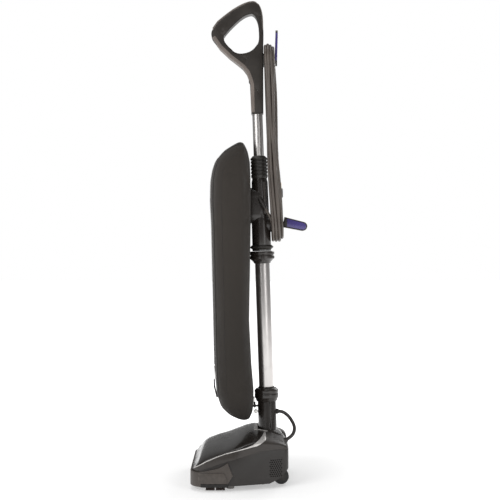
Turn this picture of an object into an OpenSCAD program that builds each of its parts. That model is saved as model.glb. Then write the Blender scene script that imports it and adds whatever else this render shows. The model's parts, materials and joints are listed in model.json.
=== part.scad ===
// Upright vacuum cleaner: powered head, reclining handle, soft bag in front, cord wound on two hooks.
// Millimetres. +Z is up, -Y is the front. The origin is on the floor below the middle of the machine.

/* [Cleaning head] */
// Width of the head over the bumper
head_w = 290; // [275:5:350]
// Reach of the bumper in front of the origin
head_front = 134; // [134:1:165]
// Reach of the rear corners behind the origin
head_rear = 87; // [87:1:110]
// Width across the rear corners
rear_w = 212; // [180:1:260]
// Wall of the moulded shells
shell_wall = 2.5; // [2:0.1:3.2]
// Gap between the floor and the base tray
ground_gap = 12; // [10:1:16]
// Height of the hood's crest in front of the neck
hood_top = 120; // [117:1:150]

/* [Brush roll and drive] */
// Diameter of the brush roll's drum
drum_d = 32; // [26:1:36]
// Length of the tufts on the brush roll
tuft_len = 7.5; // [5:0.5:8]
// Diameter of the brush roll's steel pins
pin_d = 6; // [5:0.5:8]
// Outside diameter of the motor can
motor_d = 50; // [42:1:54]
// Diameter of the motor shaft
shaft_d = 8; // [6:0.5:10]
// Pitch diameter of the motor pulley
pulley_d = 14; // [12:1:18]
// Diameter of the brush roll's belt track
track_d = 28; // [22:1:32]
// Width of the drive belt
belt_w = 10; // [8:1:12]

/* [Wheels] */
// Diameter of a rear wheel
wheel_d = 35; // [30:1:40]
// Width of a rear wheel
wheel_w = 16; // [12:1:20]
// Diameter of a wheel axle
axle_d = 6; // [5:0.5:8]

/* [Recline joint] */
// Diameter of the neck's pivot drum
hub_d = 90; // [80:1:92]
// Width of the pivot drum
hub_w = 68; // [56:1:70]
// Diameter of the pivot pins on the drum
trunnion_d = 24; // [18:1:28]
// Height of the recline axis above the floor
pivot_z = 72; // [70:1:78]
// Forward lean of the parked handle, in degrees
lean = 1.88; // [0:0.1:4]

/* [Handle] */
// Diameter of the neck above its drum
neck_d = 43; // [40:1:50]
// Height of the neck's top above the recline axis
neck_h = 116; // [100:1:150]
// Outside diameter of the lower tube
tube_d = 34; // [30:1:40]
// Length of the lower tube between its collars
tube_h = 289; // [240:1:350]
// Height of the middle body that carries the bag
body_h = 149; // [145:1:185]
// Outside diameter of the upper tube
top_tube_d = 24; // [20:1:28]
// Length of the upper tube between collar and grip
top_tube_h = 98; // [80:1:130]
// Thickness of the grip from side to side
grip_w = 31; // [30:1:38]

/* [Bag] */
// Width of the bag
bag_w = 190; // [150:5:230]
// Depth of the bag from back to front
bag_depth = 84; // [70:1:98]
// Thickness of the bag's padded cloth
cloth_t = 3; // [2:0.5:4]

/* [Cord] */
// Diameter of the power cord
cord_d = 7; // [5:0.5:8]
// Radius of the post that the cord is wound on
post_r = 20; // [18:1:24]

/* [Hidden] */
$fn = 64;

eps = 0.1;          // overshoot of a cut past a face
gap = 0.3;          // room between bodies that move past each other
fit = 0.06;         // radial clearance of a turning fit
seat = 0.02;        // room round a fixed piece in its seat

// head
skirt = 5;                                 // how far the bumper stands proud of the shell
shell_half = head_w/2 - skirt;                // half width of the base tray
shell_front = -head_front + skirt;         // front face of the base tray
taper_y = -30;                             // where the sides start to draw in
pivot_y = 43;
hub_r = hub_d/2;
neck_r = neck_d/2;
slot_x = hub_w/2 + 1.5;                    // half width of the slot that the neck reclines through
slot_z = pivot_z - neck_r - 3;             // floor of that slot
brush_r = drum_d/2 + tuft_len;
brush_y = shell_front + 6 + brush_r;       // brush roll axis
brush_z = brush_r + 2.5;
sole_end = brush_y + brush_r + 22;          // rear edge of the sole plate
motor_y = -37;
motor_z = 58;
brush_half = shell_half - 22;              // half length of the brush opening
drive_x = -brush_half + 16;                // belt plane
cheek_in = slot_x + 3.5;                   // inner face of the pivot posts
cheek_out = cheek_in + 11;
wheel_x = cheek_out + 4 + wheel_w/2;
wheel_y = head_rear - wheel_d/2 + 1.7;
corner_r = 34;                             // front corners of the head, in plan
front_z = 50;                              // hood height at its front edge
slope_y = 39;                              // where the belly starts to rise towards the rear
slope_z = 32;                              // underside just before the rear corner
seam_z = [[-200, 36], [shell_front, 38], [-99, 50], [-48, 67], [3, 80], [32, 85], [83, 87], [200, 88]];

// handle, measured along its own axis from the recline pivot
collar_h = 27;
clamp_h = 29;
core_h = 21;
ribs_h = 53;
grip_h = 265;
clamp_d = 58;
core_d = 44;
ring_d = 55;
z_collar = neck_h;
z_tube = z_collar + collar_h;
z_clamp = z_tube + tube_h;
z_core = z_clamp + clamp_h;
z_body = z_core + core_h;
z_ribs = z_body + body_h;
z_top = z_ribs + ribs_h;
z_grip = z_top + top_tube_h;
tube_wall = 1.5;
air_r = 14;                                // airway through the neck and collars
z_dock = z_body + 93;                      // bag inlet
dock_r = 17;

// cord hooks and hank
z_low = z_body + 41;
z_high = z_grip + 123;
hank_y = 24;                               // front of the hank at its foot
hank_lean = 4;                             // how much further forward its head is
strands = 4;
layers = 3;
hank_t = strands*cord_d;
hank_r = post_r + layers*cord_d;
hook_pin_r = 5;

// bag, against the back of the machine's tubes
bag_z0 = z_collar - 43;
bag_len = z_dock + 142 - bag_z0;
bag_back = -31;
bag_front = bag_back - bag_depth;
z_zip = bag_z0 + 120;

function arc(c, r, a0, a1, n) = [for (i = [0:n]) c + r*[cos(a0 + (a1 - a0)*i/n), sin(a0 + (a1 - a0)*i/n)]];
function mirrored(p) = [for (i = [len(p) - 1:-1:0]) [-p[i][0], p[i][1]]];

// Plan of the base tray, drawn in by an amount all round
function plan(in) =
  let(r = corner_r - in, q = 14 - in, side = shell_half - in,
      right = concat(
        arc([side - r, shell_front + in + r], r, -90, 0, 8),
        [[side, taper_y]],
        arc([rear_w/2 - in - q, head_rear - in - q], q, 15, 90, 6)))
  concat(right, mirrored(right));

// Half width of the plan at a given y
function half_at(y, in) =
  let(r = corner_r - in, side = shell_half - in, y0 = shell_front + in + r, y1 = head_rear - in - 14)
  y < y0 ? side - r + sqrt(max(0, r*r - pow(min(r, y0 - y), 2)))
  : y < taper_y ? side
  : lookup(min(y, y1), [[taper_y, side], [y1, rear_w/2 - in]]) - (y > y1 ? 14 - sqrt(max(0, 196 - pow(min(14, y - y1), 2))) : 0);

module at_pivot() translate([0, pivot_y, pivot_z]) children();
module on_handle() at_pivot() rotate([lean, 0, 0]) children();
module along_x(x0, x1, r) translate([x0, 0, 0]) rotate([0, 90, 0]) cylinder(r = r, h = x1 - x0);
module along_y(y0, y1, r) translate([0, y0, 0]) rotate([-90, 0, 0]) cylinder(r = r, h = y1 - y0);
module box(lo, hi) translate(lo) cube(hi - lo);
module both_sides() {
  children();
  mirror([1, 0, 0]) children();
}

// Solid between rings of points that all have the same count
module loft(rings) {
  n = len(rings[0]);
  m = len(rings);
  polyhedron(
    points = [for (r = rings) each r],
    faces = concat(
      [[for (i = [0:n - 1]) i]],
      [for (j = [0:m - 2], i = [0:n - 1]) [j*n + i, (j + 1)*n + i, (j + 1)*n + (i + 1)%n]],
      [for (j = [0:m - 2], i = [0:n - 1]) [j*n + i, (j + 1)*n + (i + 1)%n, j*n + (i + 1)%n]],
      [[for (i = [n - 1:-1:0]) (m - 1)*n + i]]));
}

// Tube swept along a route, its rings square to the way it runs
function unit(v) = v/norm(v);
function way(p, i) = unit(p[min(i + 1, len(p) - 1)] - p[max(i - 1, 0)]);
function ring_at(c, t, r, n) =
  let(a = abs(t[2]) < 0.9 ? [0, 0, 1] : [1, 0, 0], u = unit(cross(t, a)), v = cross(t, u))
  [for (k = [0:n - 1]) c + r*(cos(360*k/n)*u + sin(360*k/n)*v)];
function smooth(p) = concat([p[0]], [for (i = [0:len(p) - 2]) each [0.75*p[i] + 0.25*p[i + 1],
  0.25*p[i] + 0.75*p[i + 1]]], [p[len(p) - 1]]);
module sweep(route, r, sides) {
  loft([for (i = [0:len(route) - 1]) ring_at(route[i], way(route, i), r, sides)]);
}

// Cleaning head ---------------------------------------------------------------

function seam_at(y) = lookup(y, seam_z);
function shoulder_at(y) = lookup(y, [[shell_front, 46], [-118, 53.5], [-99, 65], [-76, 75], [-54, 83], [-31, 89],
  [-8, 94], [9, 97], [30, 98], [61, 96], [head_rear - 6, 92], [head_rear, 88]]);
function crest_at(y) = lookup(y, [[shell_front, front_z], [-121, 54], [-116, 66], [-111, 74], [-105, 78],
  [-99, 81], [-76, 88], [-54, hood_top - 27], [-31, hood_top - 16.5], [-9, hood_top - 5], [9, hood_top],
  [22, hood_top], [42, hood_top - 4], [61, hood_top - 10], [75, hood_top - 15], [83, hood_top - 21],
  [head_rear, seam_at(head_rear) + 4]]);
hood_y = [shell_front + 0.5, -121, -116, -111, -105, -99, -86, -76, -65, -54, -48, -40, -31, -20, -9, 3, 9, 22, 32,
  42, 52, 61, 68, 75, 79, 83, head_rear - 0.5];

// Arch of the hood at one y, drawn in by an amount: flanks up to the shoulder, then the domed top.
// Its foot reaches down by an extra depth.
function arch(y, in, foot) =
  let(w = half_at(y, in), z0 = seam_at(y), top = crest_at(y) - in, z1 = min(shoulder_at(y) - in, top - 1.5),
      wall = max(z1 - z0, 0.5), w1 = w - 0.1*wall, rise = max(top - z0 - wall, 0.5), p = 2/2.3)
  concat([[-w, y, z0 - foot], [-w, y, z0]],
         [for (i = [0:22]) let(a = 180 - 180*i/22)
           [w1*sign(cos(a))*pow(abs(cos(a)), p), y, z0 + wall + rise*pow(abs(sin(a)), p)]],
         [[w, y, z0], [w, y, z0 - foot]]);

module dome(in, foot) {
  loft([for (y = hood_y) arch(min(max(y, shell_front + in + 0.5), head_rear - in - 0.5) + 0.001*y, in, foot)]);
}

module side_profile(points) {
  rotate([90, 0, 90]) translate([0, 0, -head_w]) linear_extrude(2*head_w) polygon(points);
}

module under_seam(z0) side_profile(concat([[200, z0], [-200, z0]], seam_z));

// Space under the rear of the head, where the belly slopes up behind the wheels
module rear_relief(grow) {
  rotate([90, 0, 90]) translate([0, 0, -head_w]) linear_extrude(2*head_w) offset(delta = grow)
    polygon([[slope_y - 90, -40], [slope_y, ground_gap - 2], [slope_y + 24, slope_z - 12],
      [head_rear - 10, slope_z], [head_rear + 1, slope_z + 12], [head_rear + 60, slope_z + 12],
      [head_rear + 60, -40]]);
}

// Lugs left standing in that space, beside each wheel
module wheel_lugs() {
  both_sides() box([wheel_x - wheel_w/2 - 5, wheel_y - 7, ground_gap],
    [wheel_x + wheel_w/2 + 5, wheel_y + 7, wheel_d + 5]);
}

module brush_opening(z0, z1, grow) {
  box([-brush_half - grow, brush_y - brush_r - 2 - grow, z0],
      [brush_half + grow, brush_y + brush_r + 2 + grow, z1]);
}

grille_turn = atan2(shell_half - rear_w/2, head_rear - 14 - taper_y);
grille_y = 58;
grille_z = 46;
grille_size = [34, 44];
screw_at = [[112, -20], [104, 30], [70, -42], [64, 20]];

module at_grille() {
  translate([half_at(grille_y, 0), grille_y, grille_z]) rotate([0, 0, grille_turn]) children();
}

module base_tray() {
  post_h = pivot_z + trunnion_d/2 + 8;
  well_y = wheel_y - wheel_d/2 - 3;
  well_top = wheel_d + 3;
  wall = shell_wall;
  floor_z = ground_gap + wall;
  wall_y = brush_y + brush_r + 2;
  color("#26241f") difference() {
    union() {
      difference() {
        intersection() {
          translate([0, 0, ground_gap]) linear_extrude(100) polygon(plan(0));
          under_seam(0);
        }
        difference() {
          translate([0, 0, floor_z]) linear_extrude(100) polygon(plan(wall));
          rear_relief(wall);
        }
      }
      intersection() {
        union() {
          box([-shell_half, wall_y, ground_gap], [shell_half, wall_y + wall, 58]);
          both_sides() box([cheek_in, pivot_y - trunnion_d/2 - 8, ground_gap],
            [cheek_out, pivot_y + trunnion_d/2 + 8, post_h]);
          both_sides() box([wheel_x - wheel_w/2 - 4, well_y - wall, ground_gap],
            [wheel_x + wheel_w/2 + 4, head_rear, well_top + wall]);
          box([-slot_x, head_rear - 4, ground_gap], [slot_x, head_rear, slot_z]);
        }
        translate([0, 0, ground_gap]) linear_extrude(100) polygon(plan(0.5));
      }
    }
    difference() {
      rear_relief(0);
      wheel_lugs();
    }
    brush_opening(0, floor_z + eps, 0);
    both_sides() box([wheel_x - wheel_w/2 - 1.5, well_y, 0],
      [wheel_x + wheel_w/2 + 1.5, head_rear + 1, well_top]);
    box([-slot_x, 0, slot_z], [slot_x, head_rear + 1, 200]);
    at_pivot() along_x(-slot_x, slot_x, hub_r + 1);
    at_pivot() along_x(-cheek_out - eps, cheek_out + eps, trunnion_d/2 + 3 + seat);
    translate([0, wheel_y, wheel_d/2]) both_sides()
      along_x(wheel_x - wheel_w/2 - 4 - eps, wheel_x + wheel_w/2 + 4 + eps, axle_d/2 + seat);
    box([drive_x - belt_w/2 - 3, wall_y - 1, floor_z + 4], [drive_x + belt_w/2 + 3, wall_y + wall + 1, 70]);
    both_sides() at_grille() box([-10, -grille_size[0]/2, -grille_size[1]/2],
      [5, grille_size[0]/2, grille_size[1]/2]);
    both_sides() for (p = screw_at) translate([p[0], p[1], 0]) cylinder(r = 2 + seat, h = 40);
  }
}

module hood() {
  slot_y = pivot_y - (hood_top - pivot_z)*tan(lean) - neck_r - 2;
  color("#1d1b1a") difference() {
    union() {
      difference() {
        dome(0, 0);
        dome(shell_wall, 6);
      }
      intersection() {
        dome(0, 0);
        both_sides() box([slot_x, slot_y, 50], [slot_x + shell_wall, head_rear, 140]);
      }
    }
    box([-slot_x, slot_y, 0], [slot_x, head_rear + 5, 200]);
    at_pivot() along_x(-slot_x, slot_x, hub_r + 1);
    at_pivot() along_x(-cheek_in, cheek_in, trunnion_d/2 + 1.5);
    head_gland_bore();
  }
}

// Silver line along the hood's shoulder, as [y, top, bottom]; it widens where it climbs to the neck
trim_line = [[shell_front + 4, 50.6, 48.8], [-99, 66, 64.2], [-76, 76, 74.2], [-54, 84, 82.2],
  [-31, 90, 88.2], [-8, 95, 92.8], [5, 99.5, 95.5], [16, 106.5, 97.5], [26, 113, 102.5], [36, 118.5, 108.5]];
module trim(t) {
  band = concat([for (p = trim_line) [p[0], p[1]]],
    [for (i = [len(trim_line) - 1:-1:0]) [trim_line[i][0], trim_line[i][2]]]);
  color("silver") intersection() {
    difference() {
      dome(-0.9, 0);
      dome(-seat, 6);
    }
    side_profile(band);
    box([t > 0 ? 52 : -200, -200, 0], [t > 0 ? 200 : -52, 200, 200]);
  }
}
module trim_left() trim(1);
module trim_right() trim(-1);

bumper_top = [[-head_front - 2, 43], [-118, 43], [-96, 46], [-70, 52], [-56, 59], [-49, 64]];
module bumper() {
  foot = ground_gap - 2;
  color("#5a534d") difference() {
    intersection() {
      translate([0, 0, foot]) linear_extrude(80) polygon(plan(-skirt));
      side_profile(concat([[-38, 35], [-48, 19], [-48, foot], [-head_front - 2, foot]], bumper_top));
    }
    translate([0, 0, foot - 1]) linear_extrude(100) polygon(plan(-seat));
  }
}

module sole_plate() {
  color("#4a4744") difference() {
    translate([0, 0, ground_gap - 2]) linear_extrude(2 - seat) intersection() {
      polygon(plan(0.5));
      translate([-200, -200]) square([400, 200 + sole_end]);
    }
    brush_opening(0, 40, -1);
    both_sides() for (p = screw_at) translate([p[0], p[1], 0]) cylinder(r = 2.5, h = 40);
  }
}

module edge_brushes() {
  color("#1a1a1a") both_sides() for (y = [brush_y + 11, brush_y + 34])
    box([shell_half - 10, y - 9.5, 1], [shell_half - 4, y + 9.5, ground_gap - 2 - seat]);
}

module at_brush() translate([0, brush_y, brush_z]) children();

module brush_bearings() {
  color("#8a8580") both_sides() difference() {
    box([brush_half + 1, brush_y - 11, ground_gap + shell_wall],
        [brush_half + 9, brush_y + 11, brush_z + 11]);
    at_brush() along_x(0, 200, pin_d/2 + fit);
  }
}

module brush_roll() {
  drum_end = brush_half - 2;
  color("#7d7872") at_brush() {
    difference() {
      along_x(-drum_end, drum_end, drum_d/2);
      difference() {
        along_x(drive_x - belt_w/2 - 1, drive_x + belt_w/2 + 1, drum_d);
        along_x(drive_x - belt_w, drive_x + belt_w, track_d/2);
      }
      along_x(-200, 200, pin_d/2);
    }
    along_x(-brush_half - 8, brush_half + 8, pin_d/2);
  }
}

module brush_tufts() {
  step = 12;
  first = drive_x + belt_w/2 + 7;
  count = floor((brush_half - 6 - first)/step);
  color("#161616") at_brush() difference() {
    for (i = [0:count], side = [0, 180])
      translate([first + i*step, 0, 0]) rotate([side + 15*i, 0, 0])
        translate([0, 0, drum_d/2 - 1]) cylinder(r = 2.6, h = tuft_len + 1, $fn = 8);
    along_x(-200, 200, drum_d/2);
  }
}

module at_motor() translate([0, motor_y, motor_z]) children();
module belt_loop(grow, w) {
  hull() {
    at_brush() along_x(drive_x - w/2, drive_x + w/2, track_d/2 + grow, $fn = 32);
    at_motor() along_x(drive_x - w/2, drive_x + w/2, pulley_d/2 + grow, $fn = 32);
  }
}
module drive_belt() {
  color("#202020") difference() {
    belt_loop(gap + 1.6, belt_w);
    belt_loop(gap, belt_w + 2);
  }
}

module motor_can() {
  color("#9a9a9c") at_motor() difference() {
    along_x(-48, 48, motor_d/2);
    along_x(-44, 44, motor_d/2 - 2);
    along_x(-60, 60, shaft_d/2 + fit);
  }
}

module motor_mounts() {
  color("#26241f") difference() {
    for (x = [-34, 34]) box([x - 4, motor_y - 16, ground_gap + shell_wall], [x + 4, motor_y + 16, motor_z - 8]);
    at_motor() along_x(-60, 60, motor_d/2 + seat);
  }
}

module motor_shaft() {
  color("#b8b8ba") at_motor() {
    along_x(drive_x - belt_w/2 - 3, 74, shaft_d/2);
    along_x(-36, 36, motor_d/2 - 5);
  }
}

module motor_pulley() {
  color("#8c8c90") at_motor() difference() {
    union() {
      along_x(drive_x - belt_w/2 - 1, drive_x + belt_w/2 + 1, pulley_d/2);
      for (x = [drive_x - belt_w/2 - 2.5, drive_x + belt_w/2 + 1]) along_x(x, x + 1.5, pulley_d/2 + 2.5);
    }
    along_x(-200, 0, shaft_d/2);
  }
}

fan_x = 54;
module impeller() {
  color("#b5b0a8") at_motor() difference() {
    union() {
      along_x(fan_x + 4, fan_x + 6, 25);
      along_x(fan_x + 6, fan_x + 18, 8);
      for (k = [0:6]) rotate([360*k/7, 0, 0]) box([fan_x + 6, 5, -1], [fan_x + 16, 24, 1]);
    }
    along_x(0, 200, shaft_d/2);
  }
}

module impeller_housing() {
  color("#33302d") at_motor() difference() {
    along_x(fan_x, fan_x + 26, 30);
    along_x(fan_x + 2, fan_x + 24, 27.5);
    along_x(0, fan_x + 10, shaft_d/2 + 1);
    along_x(fan_x + 10, 200, 13);
  }
}

module grille() {
  pitch = 5;
  color("#1c1b19") at_grille() difference() {
    box([-1.5, -grille_size[0]/2 + seat, -grille_size[1]/2 + seat],
        [0.5, grille_size[0]/2 - seat, grille_size[1]/2 - seat]);
    for (i = [-2.5:2.5], j = [-4:4])
      translate([0, i*pitch + (j%2 == 0 ? 1.2 : -1.2), j*pitch*0.9]) rotate([0, 90, 0])
        translate([0, 0, -3]) cylinder(r = 1.9, h = 6, $fn = 4);
  }
}
module grille_left() grille();
module grille_right() mirror([1, 0, 0]) grille();

module wheel() {
  color("#1b1b1b") translate([wheel_x, wheel_y, wheel_d/2]) difference() {
    rotate([0, 90, 0]) rotate_extrude() polygon(concat(
      [[axle_d/2 + fit, -wheel_w/2], [wheel_d/2 - 5, -wheel_w/2]],
      arc([wheel_d/2 - 3, -wheel_w/2 + 3], 3, -90, 0, 4), arc([wheel_d/2 - 3, wheel_w/2 - 3], 3, 0, 90, 4),
      [[wheel_d/2 - 5, wheel_w/2], [axle_d/2 + fit, wheel_w/2]]));
  }
}
module wheel_left() wheel();
module wheel_right() mirror([1, 0, 0]) wheel();

module wheel_axles() {
  color("#a9a9ab") translate([0, wheel_y, wheel_d/2]) both_sides()
    along_x(wheel_x - wheel_w/2 - 4, wheel_x + wheel_w/2 + 4, axle_d/2);
}

glide_r = 9;
glide_at = [shell_half - 34, sole_end + glide_r + 1];
module front_glides() {
  color("#8f8b86") both_sides() translate([glide_at[0], glide_at[1], 0]) cylinder(r = glide_r, h = ground_gap - seat);
}

module pivot_bushes() {
  color("#d8d4c8") at_pivot() both_sides() difference() {
    along_x(cheek_in, cheek_out, trunnion_d/2 + 3);
    along_x(cheek_in - eps, cheek_out + eps, trunnion_d/2 + fit);
  }
}

module base_screws() {
  color("#a9a9ab") both_sides() for (p = screw_at) translate([p[0], p[1], 0]) {
    translate([0, 0, ground_gap - 3.2]) cylinder(r = 4, h = 3.2 - seat);
    translate([0, 0, ground_gap - 1]) cylinder(r = 2, h = 14);
  }
}

// Motor lead, from the neck to the rear of the head
lead_d = 8;
lead_from = [0, 67, 156];
lead_to = [52, head_rear - 2, 100];
lead_route = [lead_from, [1, 73, 156], [5, 82, 153], [14, 92, 145], [26, 100, 134], [38, 103.5, 124],
  [46, 101, 113], [50.5, 93.5, 105], lead_to];
module lead_part(from, to, r0, r1) {
  d = to - from;
  translate(from) rotate([0, acos(d[2]/norm(d)), atan2(d[1], d[0])]) cylinder(r1 = r0, r2 = r1, h = norm(d));
}
lead_way = lead_route[7] - lead_to;
module head_gland_bore() {
  lead_part(lead_to - 1.3*lead_way, lead_to + lead_way, lead_d/2 + 3 + seat, lead_d/2 + 3 + seat);
}
module head_gland() {
  color("#232323") lead_part(lead_to - 1.1*lead_way, lead_to, lead_d/2 + 3, lead_d/2 + 1.5);
}

// Handle ----------------------------------------------------------------------

// Solid of revolution about the handle's axis, from [radius, height] points, with a bore
module turned(points, bore) {
  z0 = min([for (p = points) p[1]]);
  z1 = max([for (p = points) p[1]]);
  rotate_extrude() polygon(concat([[bore, z0]], points, [[bore, z1]]));
}

module neck() {
  color("#1f1d1b") on_handle() difference() {
    union() {
      along_x(-hub_w/2, hub_w/2, hub_r);
      along_x(-cheek_out, cheek_out, trunnion_d/2);
      cylinder(r = neck_r, h = neck_h);
    }
    translate([0, 0, 20]) cylinder(r = air_r, h = neck_h);
    rotate([-lean - 60, 0, 0]) translate([0, 0, -hub_r - 1]) cylinder(r = air_r, h = hub_r + 8);
    translate([0, 0, z_collar - 20]) cylinder(r = tube_d/2 + seat, h = 40);
    translate([0, 0, z_stud]) along_y(-neck_r - 1, -neck_r + 4, stud_stem_r + seat);
    box([-3 - seat, -neck_r - 5, z_hook - seat], [3 + seat, -neck_r + 3, z_hook + 4 + seat]);
  }
}

module neck_collar() {
  r = neck_r + 6.5;
  color("#2a2825") on_handle() difference() {
    turned([[neck_r + 2.5, z_collar - 7], [r - 1.5, z_collar], [r, z_collar + 2], [r, z_collar + 10],
      [r - 1, z_collar + 11], [r - 1, z_collar + 12.5], [r, z_collar + 13.5], [r, z_collar + 19],
      [r - 4, z_tube - 4], [tube_d/2 + 2.5, z_tube - 3], [tube_d/2 + 1.5, z_tube]], tube_d/2 + seat);
    translate([0, 0, z_collar - 30]) cylinder(r = neck_r + seat, h = 30 + seat);
  }
}

module pipe(z0, z1, ro, ri) {
  difference() {
    translate([0, 0, z0]) cylinder(r = ro, h = z1 - z0);
    translate([0, 0, z0 - 1]) cylinder(r = ri, h = z1 - z0 + 2);
  }
}

module lower_tube() {
  color("#c9c7c4") on_handle() pipe(z_collar - 20, z_clamp + 20, tube_d/2, tube_d/2 - tube_wall);
}

module tube_clamp() {
  r = clamp_d/2;
  color("#22201d") on_handle() turned([[tube_d/2 + 2, z_clamp], [tube_d/2 + 4, z_clamp + 4],
    [r - 3, z_clamp + 9], [r, z_clamp + 11], [r, z_clamp + 17], [r - 2, z_clamp + 18],
    [r - 2, z_clamp + 20], [r, z_clamp + 21], [r, z_clamp + 26], [r - 2, z_core - 0.5]], tube_d/2 + seat);
}

module seal_ring() {
  r = ring_d/2;
  color("#282623") on_handle() turned([[r - 5, z_core + 4], [r, z_core + 8], [r, z_core + 10],
    [r - 5, z_core + 14]], core_d/2 + seat);
}

// Outline of the bag's dock: a round inlet with a longer tongue below it
module dock_shape(y0, y1, grow) {
  hull() for (z = [z_dock - 28, z_dock + 14]) translate([0, 0, z]) along_y(y0, y1, dock_r + grow);
}

module mid_body() {
  r = core_d/2;
  color("#211f1c") on_handle() difference() {
    union() {
      rotate_extrude() polygon([[0, z_core], [r, z_core], [r, z_body + 50], [r - 2, z_body + 56],
        [r - 3, z_ribs - 8], [r - 5, z_ribs], [0, z_ribs]]);
      dock_shape(-r - 2, 0, 4);
      translate([0, 0, z_low]) along_y(0, r + 3, post_r - 2);
    }
    translate([0, 0, z_core - 1]) cylinder(r = air_r, h = z_dock - z_core + air_r + 6);
    translate([0, 0, z_dock]) along_y(-60, 0, dock_r + seat);
    translate([0, 0, z_ribs - 20]) cylinder(r = top_tube_d/2 + seat, h = 40);
    translate([0, 0, z_core - 1]) cylinder(r = tube_d/2 + seat, h = 6);
    translate([0, 0, z_low]) along_y(r - 1, r + 30, hook_pin_r + fit);
    relief_bore();
  }
}

module upper_collar() {
  r = top_tube_d/2 + 7.5;
  ribs = [for (i = [0:4]) each let(z = z_ribs + 4 + 8*i) [[r, z], [r, z + 5], [r - 1.5, z + 5.5], [r - 1.5, z + 7.5]]];
  color("#262421") on_handle() turned(concat([[r - 2, z_ribs + seat]], ribs,
    [[r + 0.5, z_ribs + 44], [r + 0.5, z_ribs + 47], [r - 5, z_top]]), top_tube_d/2 + seat);
}

module upper_tube() {
  color("#c9c7c4") on_handle() pipe(z_ribs - 19, z_grip + 40, top_tube_d/2, top_tube_d/2 - tube_wall);
}

// Outline of the grip seen from its side, as [across, height above the grip's foot]
function bow(a, b, c, n) = [for (i = [0:n - 1]) let(t = i/n) (1 - t)*(1 - t)*a + 2*t*(1 - t)*b + t*t*c];
grip_out = concat(
  bow([14, 0], [16, 80], [19, 160], 4), bow([19, 160], [21, 185], [20.2, 205], 4),
  bow([20.2, 205], [22, 240], [12, 256], 6), bow([12, 256], [0, 268], [-22, 258], 6),
  bow([-22, 258], [-50, 246], [-74, 227], 5), bow([-74, 227], [-86, 218], [-97, 203], 4),
  bow([-97, 203], [-106, 190], [-98, 177], 6), bow([-98, 177], [-82, 154], [-60, 133], 4),
  bow([-60, 133], [-42, 118], [-31, 108], 4), bow([-31, 108], [-17, 95], [-13, 68], 5), [[-14, 0]]);
grip_hole = concat(
  bow([-6.6, 234], [7, 231], [9.5, 205], 6), bow([9.5, 205], [12, 165], [3, 160], 6),
  bow([3, 160], [-8, 143], [-31, 142], 5), bow([-31, 142], [-47, 141], [-56, 153], 5),
  bow([-56, 153], [-77, 172], [-72, 184], 6), bow([-72, 184], [-62, 198], [-42, 215], 5),
  bow([-42, 215], [-22, 233], [-6.6, 234], 5));

module grip_face(z0, z1) {
  translate([z0, 0, z_grip]) rotate([90, 0, 90]) linear_extrude(z1 - z0) children();
}
module grip_outline(in) {
  difference() {
    offset(delta = -in) polygon(grip_out);
    offset(delta = in) polygon(grip_hole);
  }
}
module grip_band() {
  intersection() {
    difference() {
      polygon(grip_out);
      offset(delta = -3) polygon(grip_out);
    }
    polygon([[22, 190], [60, 300], [-140, 300], [-140, 200], [-80, 200], [0, 235]]);
  }
}

switch_z = z_grip + 78;
module at_switch() translate([0, -12.6, switch_z]) children();

module grip_half(t) {
  half = grip_w/2;
  color("#1d1b19") on_handle() difference() {
    union() {
      grip_face(t > 0 ? 0 : -half + 3, t > 0 ? half - 3 : 0) grip_outline(0);
      grip_face(t > 0 ? half - 3 : -half, t > 0 ? half : -half + 3) grip_outline(2.5);
    }
    grip_face(t > 0 ? -1 : -half + 3, t > 0 ? half - 3 : 1) intersection() {
      grip_outline(3.5);
      translate([-100, 45]) square([200, 105]);
    }
    grip_face(-grip_w/2 + 3, grip_w/2 - 3) grip_band();
    translate([0, 0, z_grip - 1]) cylinder(r = top_tube_d/2 + seat, h = 42);
    at_switch() box([-7.5, -6, -14.5], [7.5, 12, 14.5]);
    at_switch() translate([0, 3, 0]) along_x(-12, 12, 2 + fit);
    translate([0, 0, z_high]) along_y(0, 40, hook_pin_r + 1);
    for (p = grip_screw_at) grip_screw_bore(p);
  }
}
module grip_left() grip_half(1);
module grip_right() grip_half(-1);

module soft_grip() {
  color("#45423f") on_handle() grip_face(-grip_w/2 + 3, grip_w/2 - 3) grip_band();
}

grip_screw_at = [[2, 55], [-22, 130], [14, 230]];
module grip_screw_bore(p) {
  translate([-grip_w, p[0], z_grip + p[1]]) rotate([0, 90, 0]) cylinder(r = 1.5 + seat, h = 2*grip_w);
}
module grip_screws() {
  color("#77777a") on_handle() for (p = grip_screw_at) translate([0, p[0], z_grip + p[1]])
    along_x(-grip_w/2 + 3, grip_w/2 - 5, 1.5);
}

module switch_rocker() {
  color("#2b2b2e") on_handle() at_switch() {
    translate([0, 3, 0]) along_x(-11.5, 11.5, 2);
    difference() {
      translate([0, 3, 0]) along_x(-7, 7, 8, $fn = 64);
      box([-8, 5, -12], [8, 20, 12]);
      box([-8, -10, 6.6], [8, 20, 20]);
      box([-8, -10, -20], [8, 20, -6.6]);
    }
  }
}

// Cord hooks: a fixed post, and a hook that swivels on the post's end
module hook_post(z, y0, y1) {
  difference() {
    translate([0, 0, z]) along_y(y0, y1, post_r - 0.5);
    translate([0, 0, z]) along_y(y0 - 1, y1 + 1, hook_pin_r + fit);
  }
}

post_end_high = hank_y - hank_lean + hank_t - 4;
post_end_low = hank_y + hank_t;
module upper_hook_post() {
  color("#232120") on_handle() difference() {
    hook_post(z_high, 12, post_end_high);
    grip_face(-grip_w, grip_w) offset(delta = seat) polygon(grip_out);
    translate([-60, -60, z_high - 60]) cube([120, 200, 50]);
  }
}

module hook_blade() {
  y0 = post_end_high + 1;
  translate([0, 0, z_high]) hull() {
    along_y(y0, y0 + 5, 11, $fn = 32);
    translate([0, 4, 65.5]) along_y(y0, y0 + 5, 7.5, $fn = 32);
  }
}
tip_z = z_high + 66;

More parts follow.
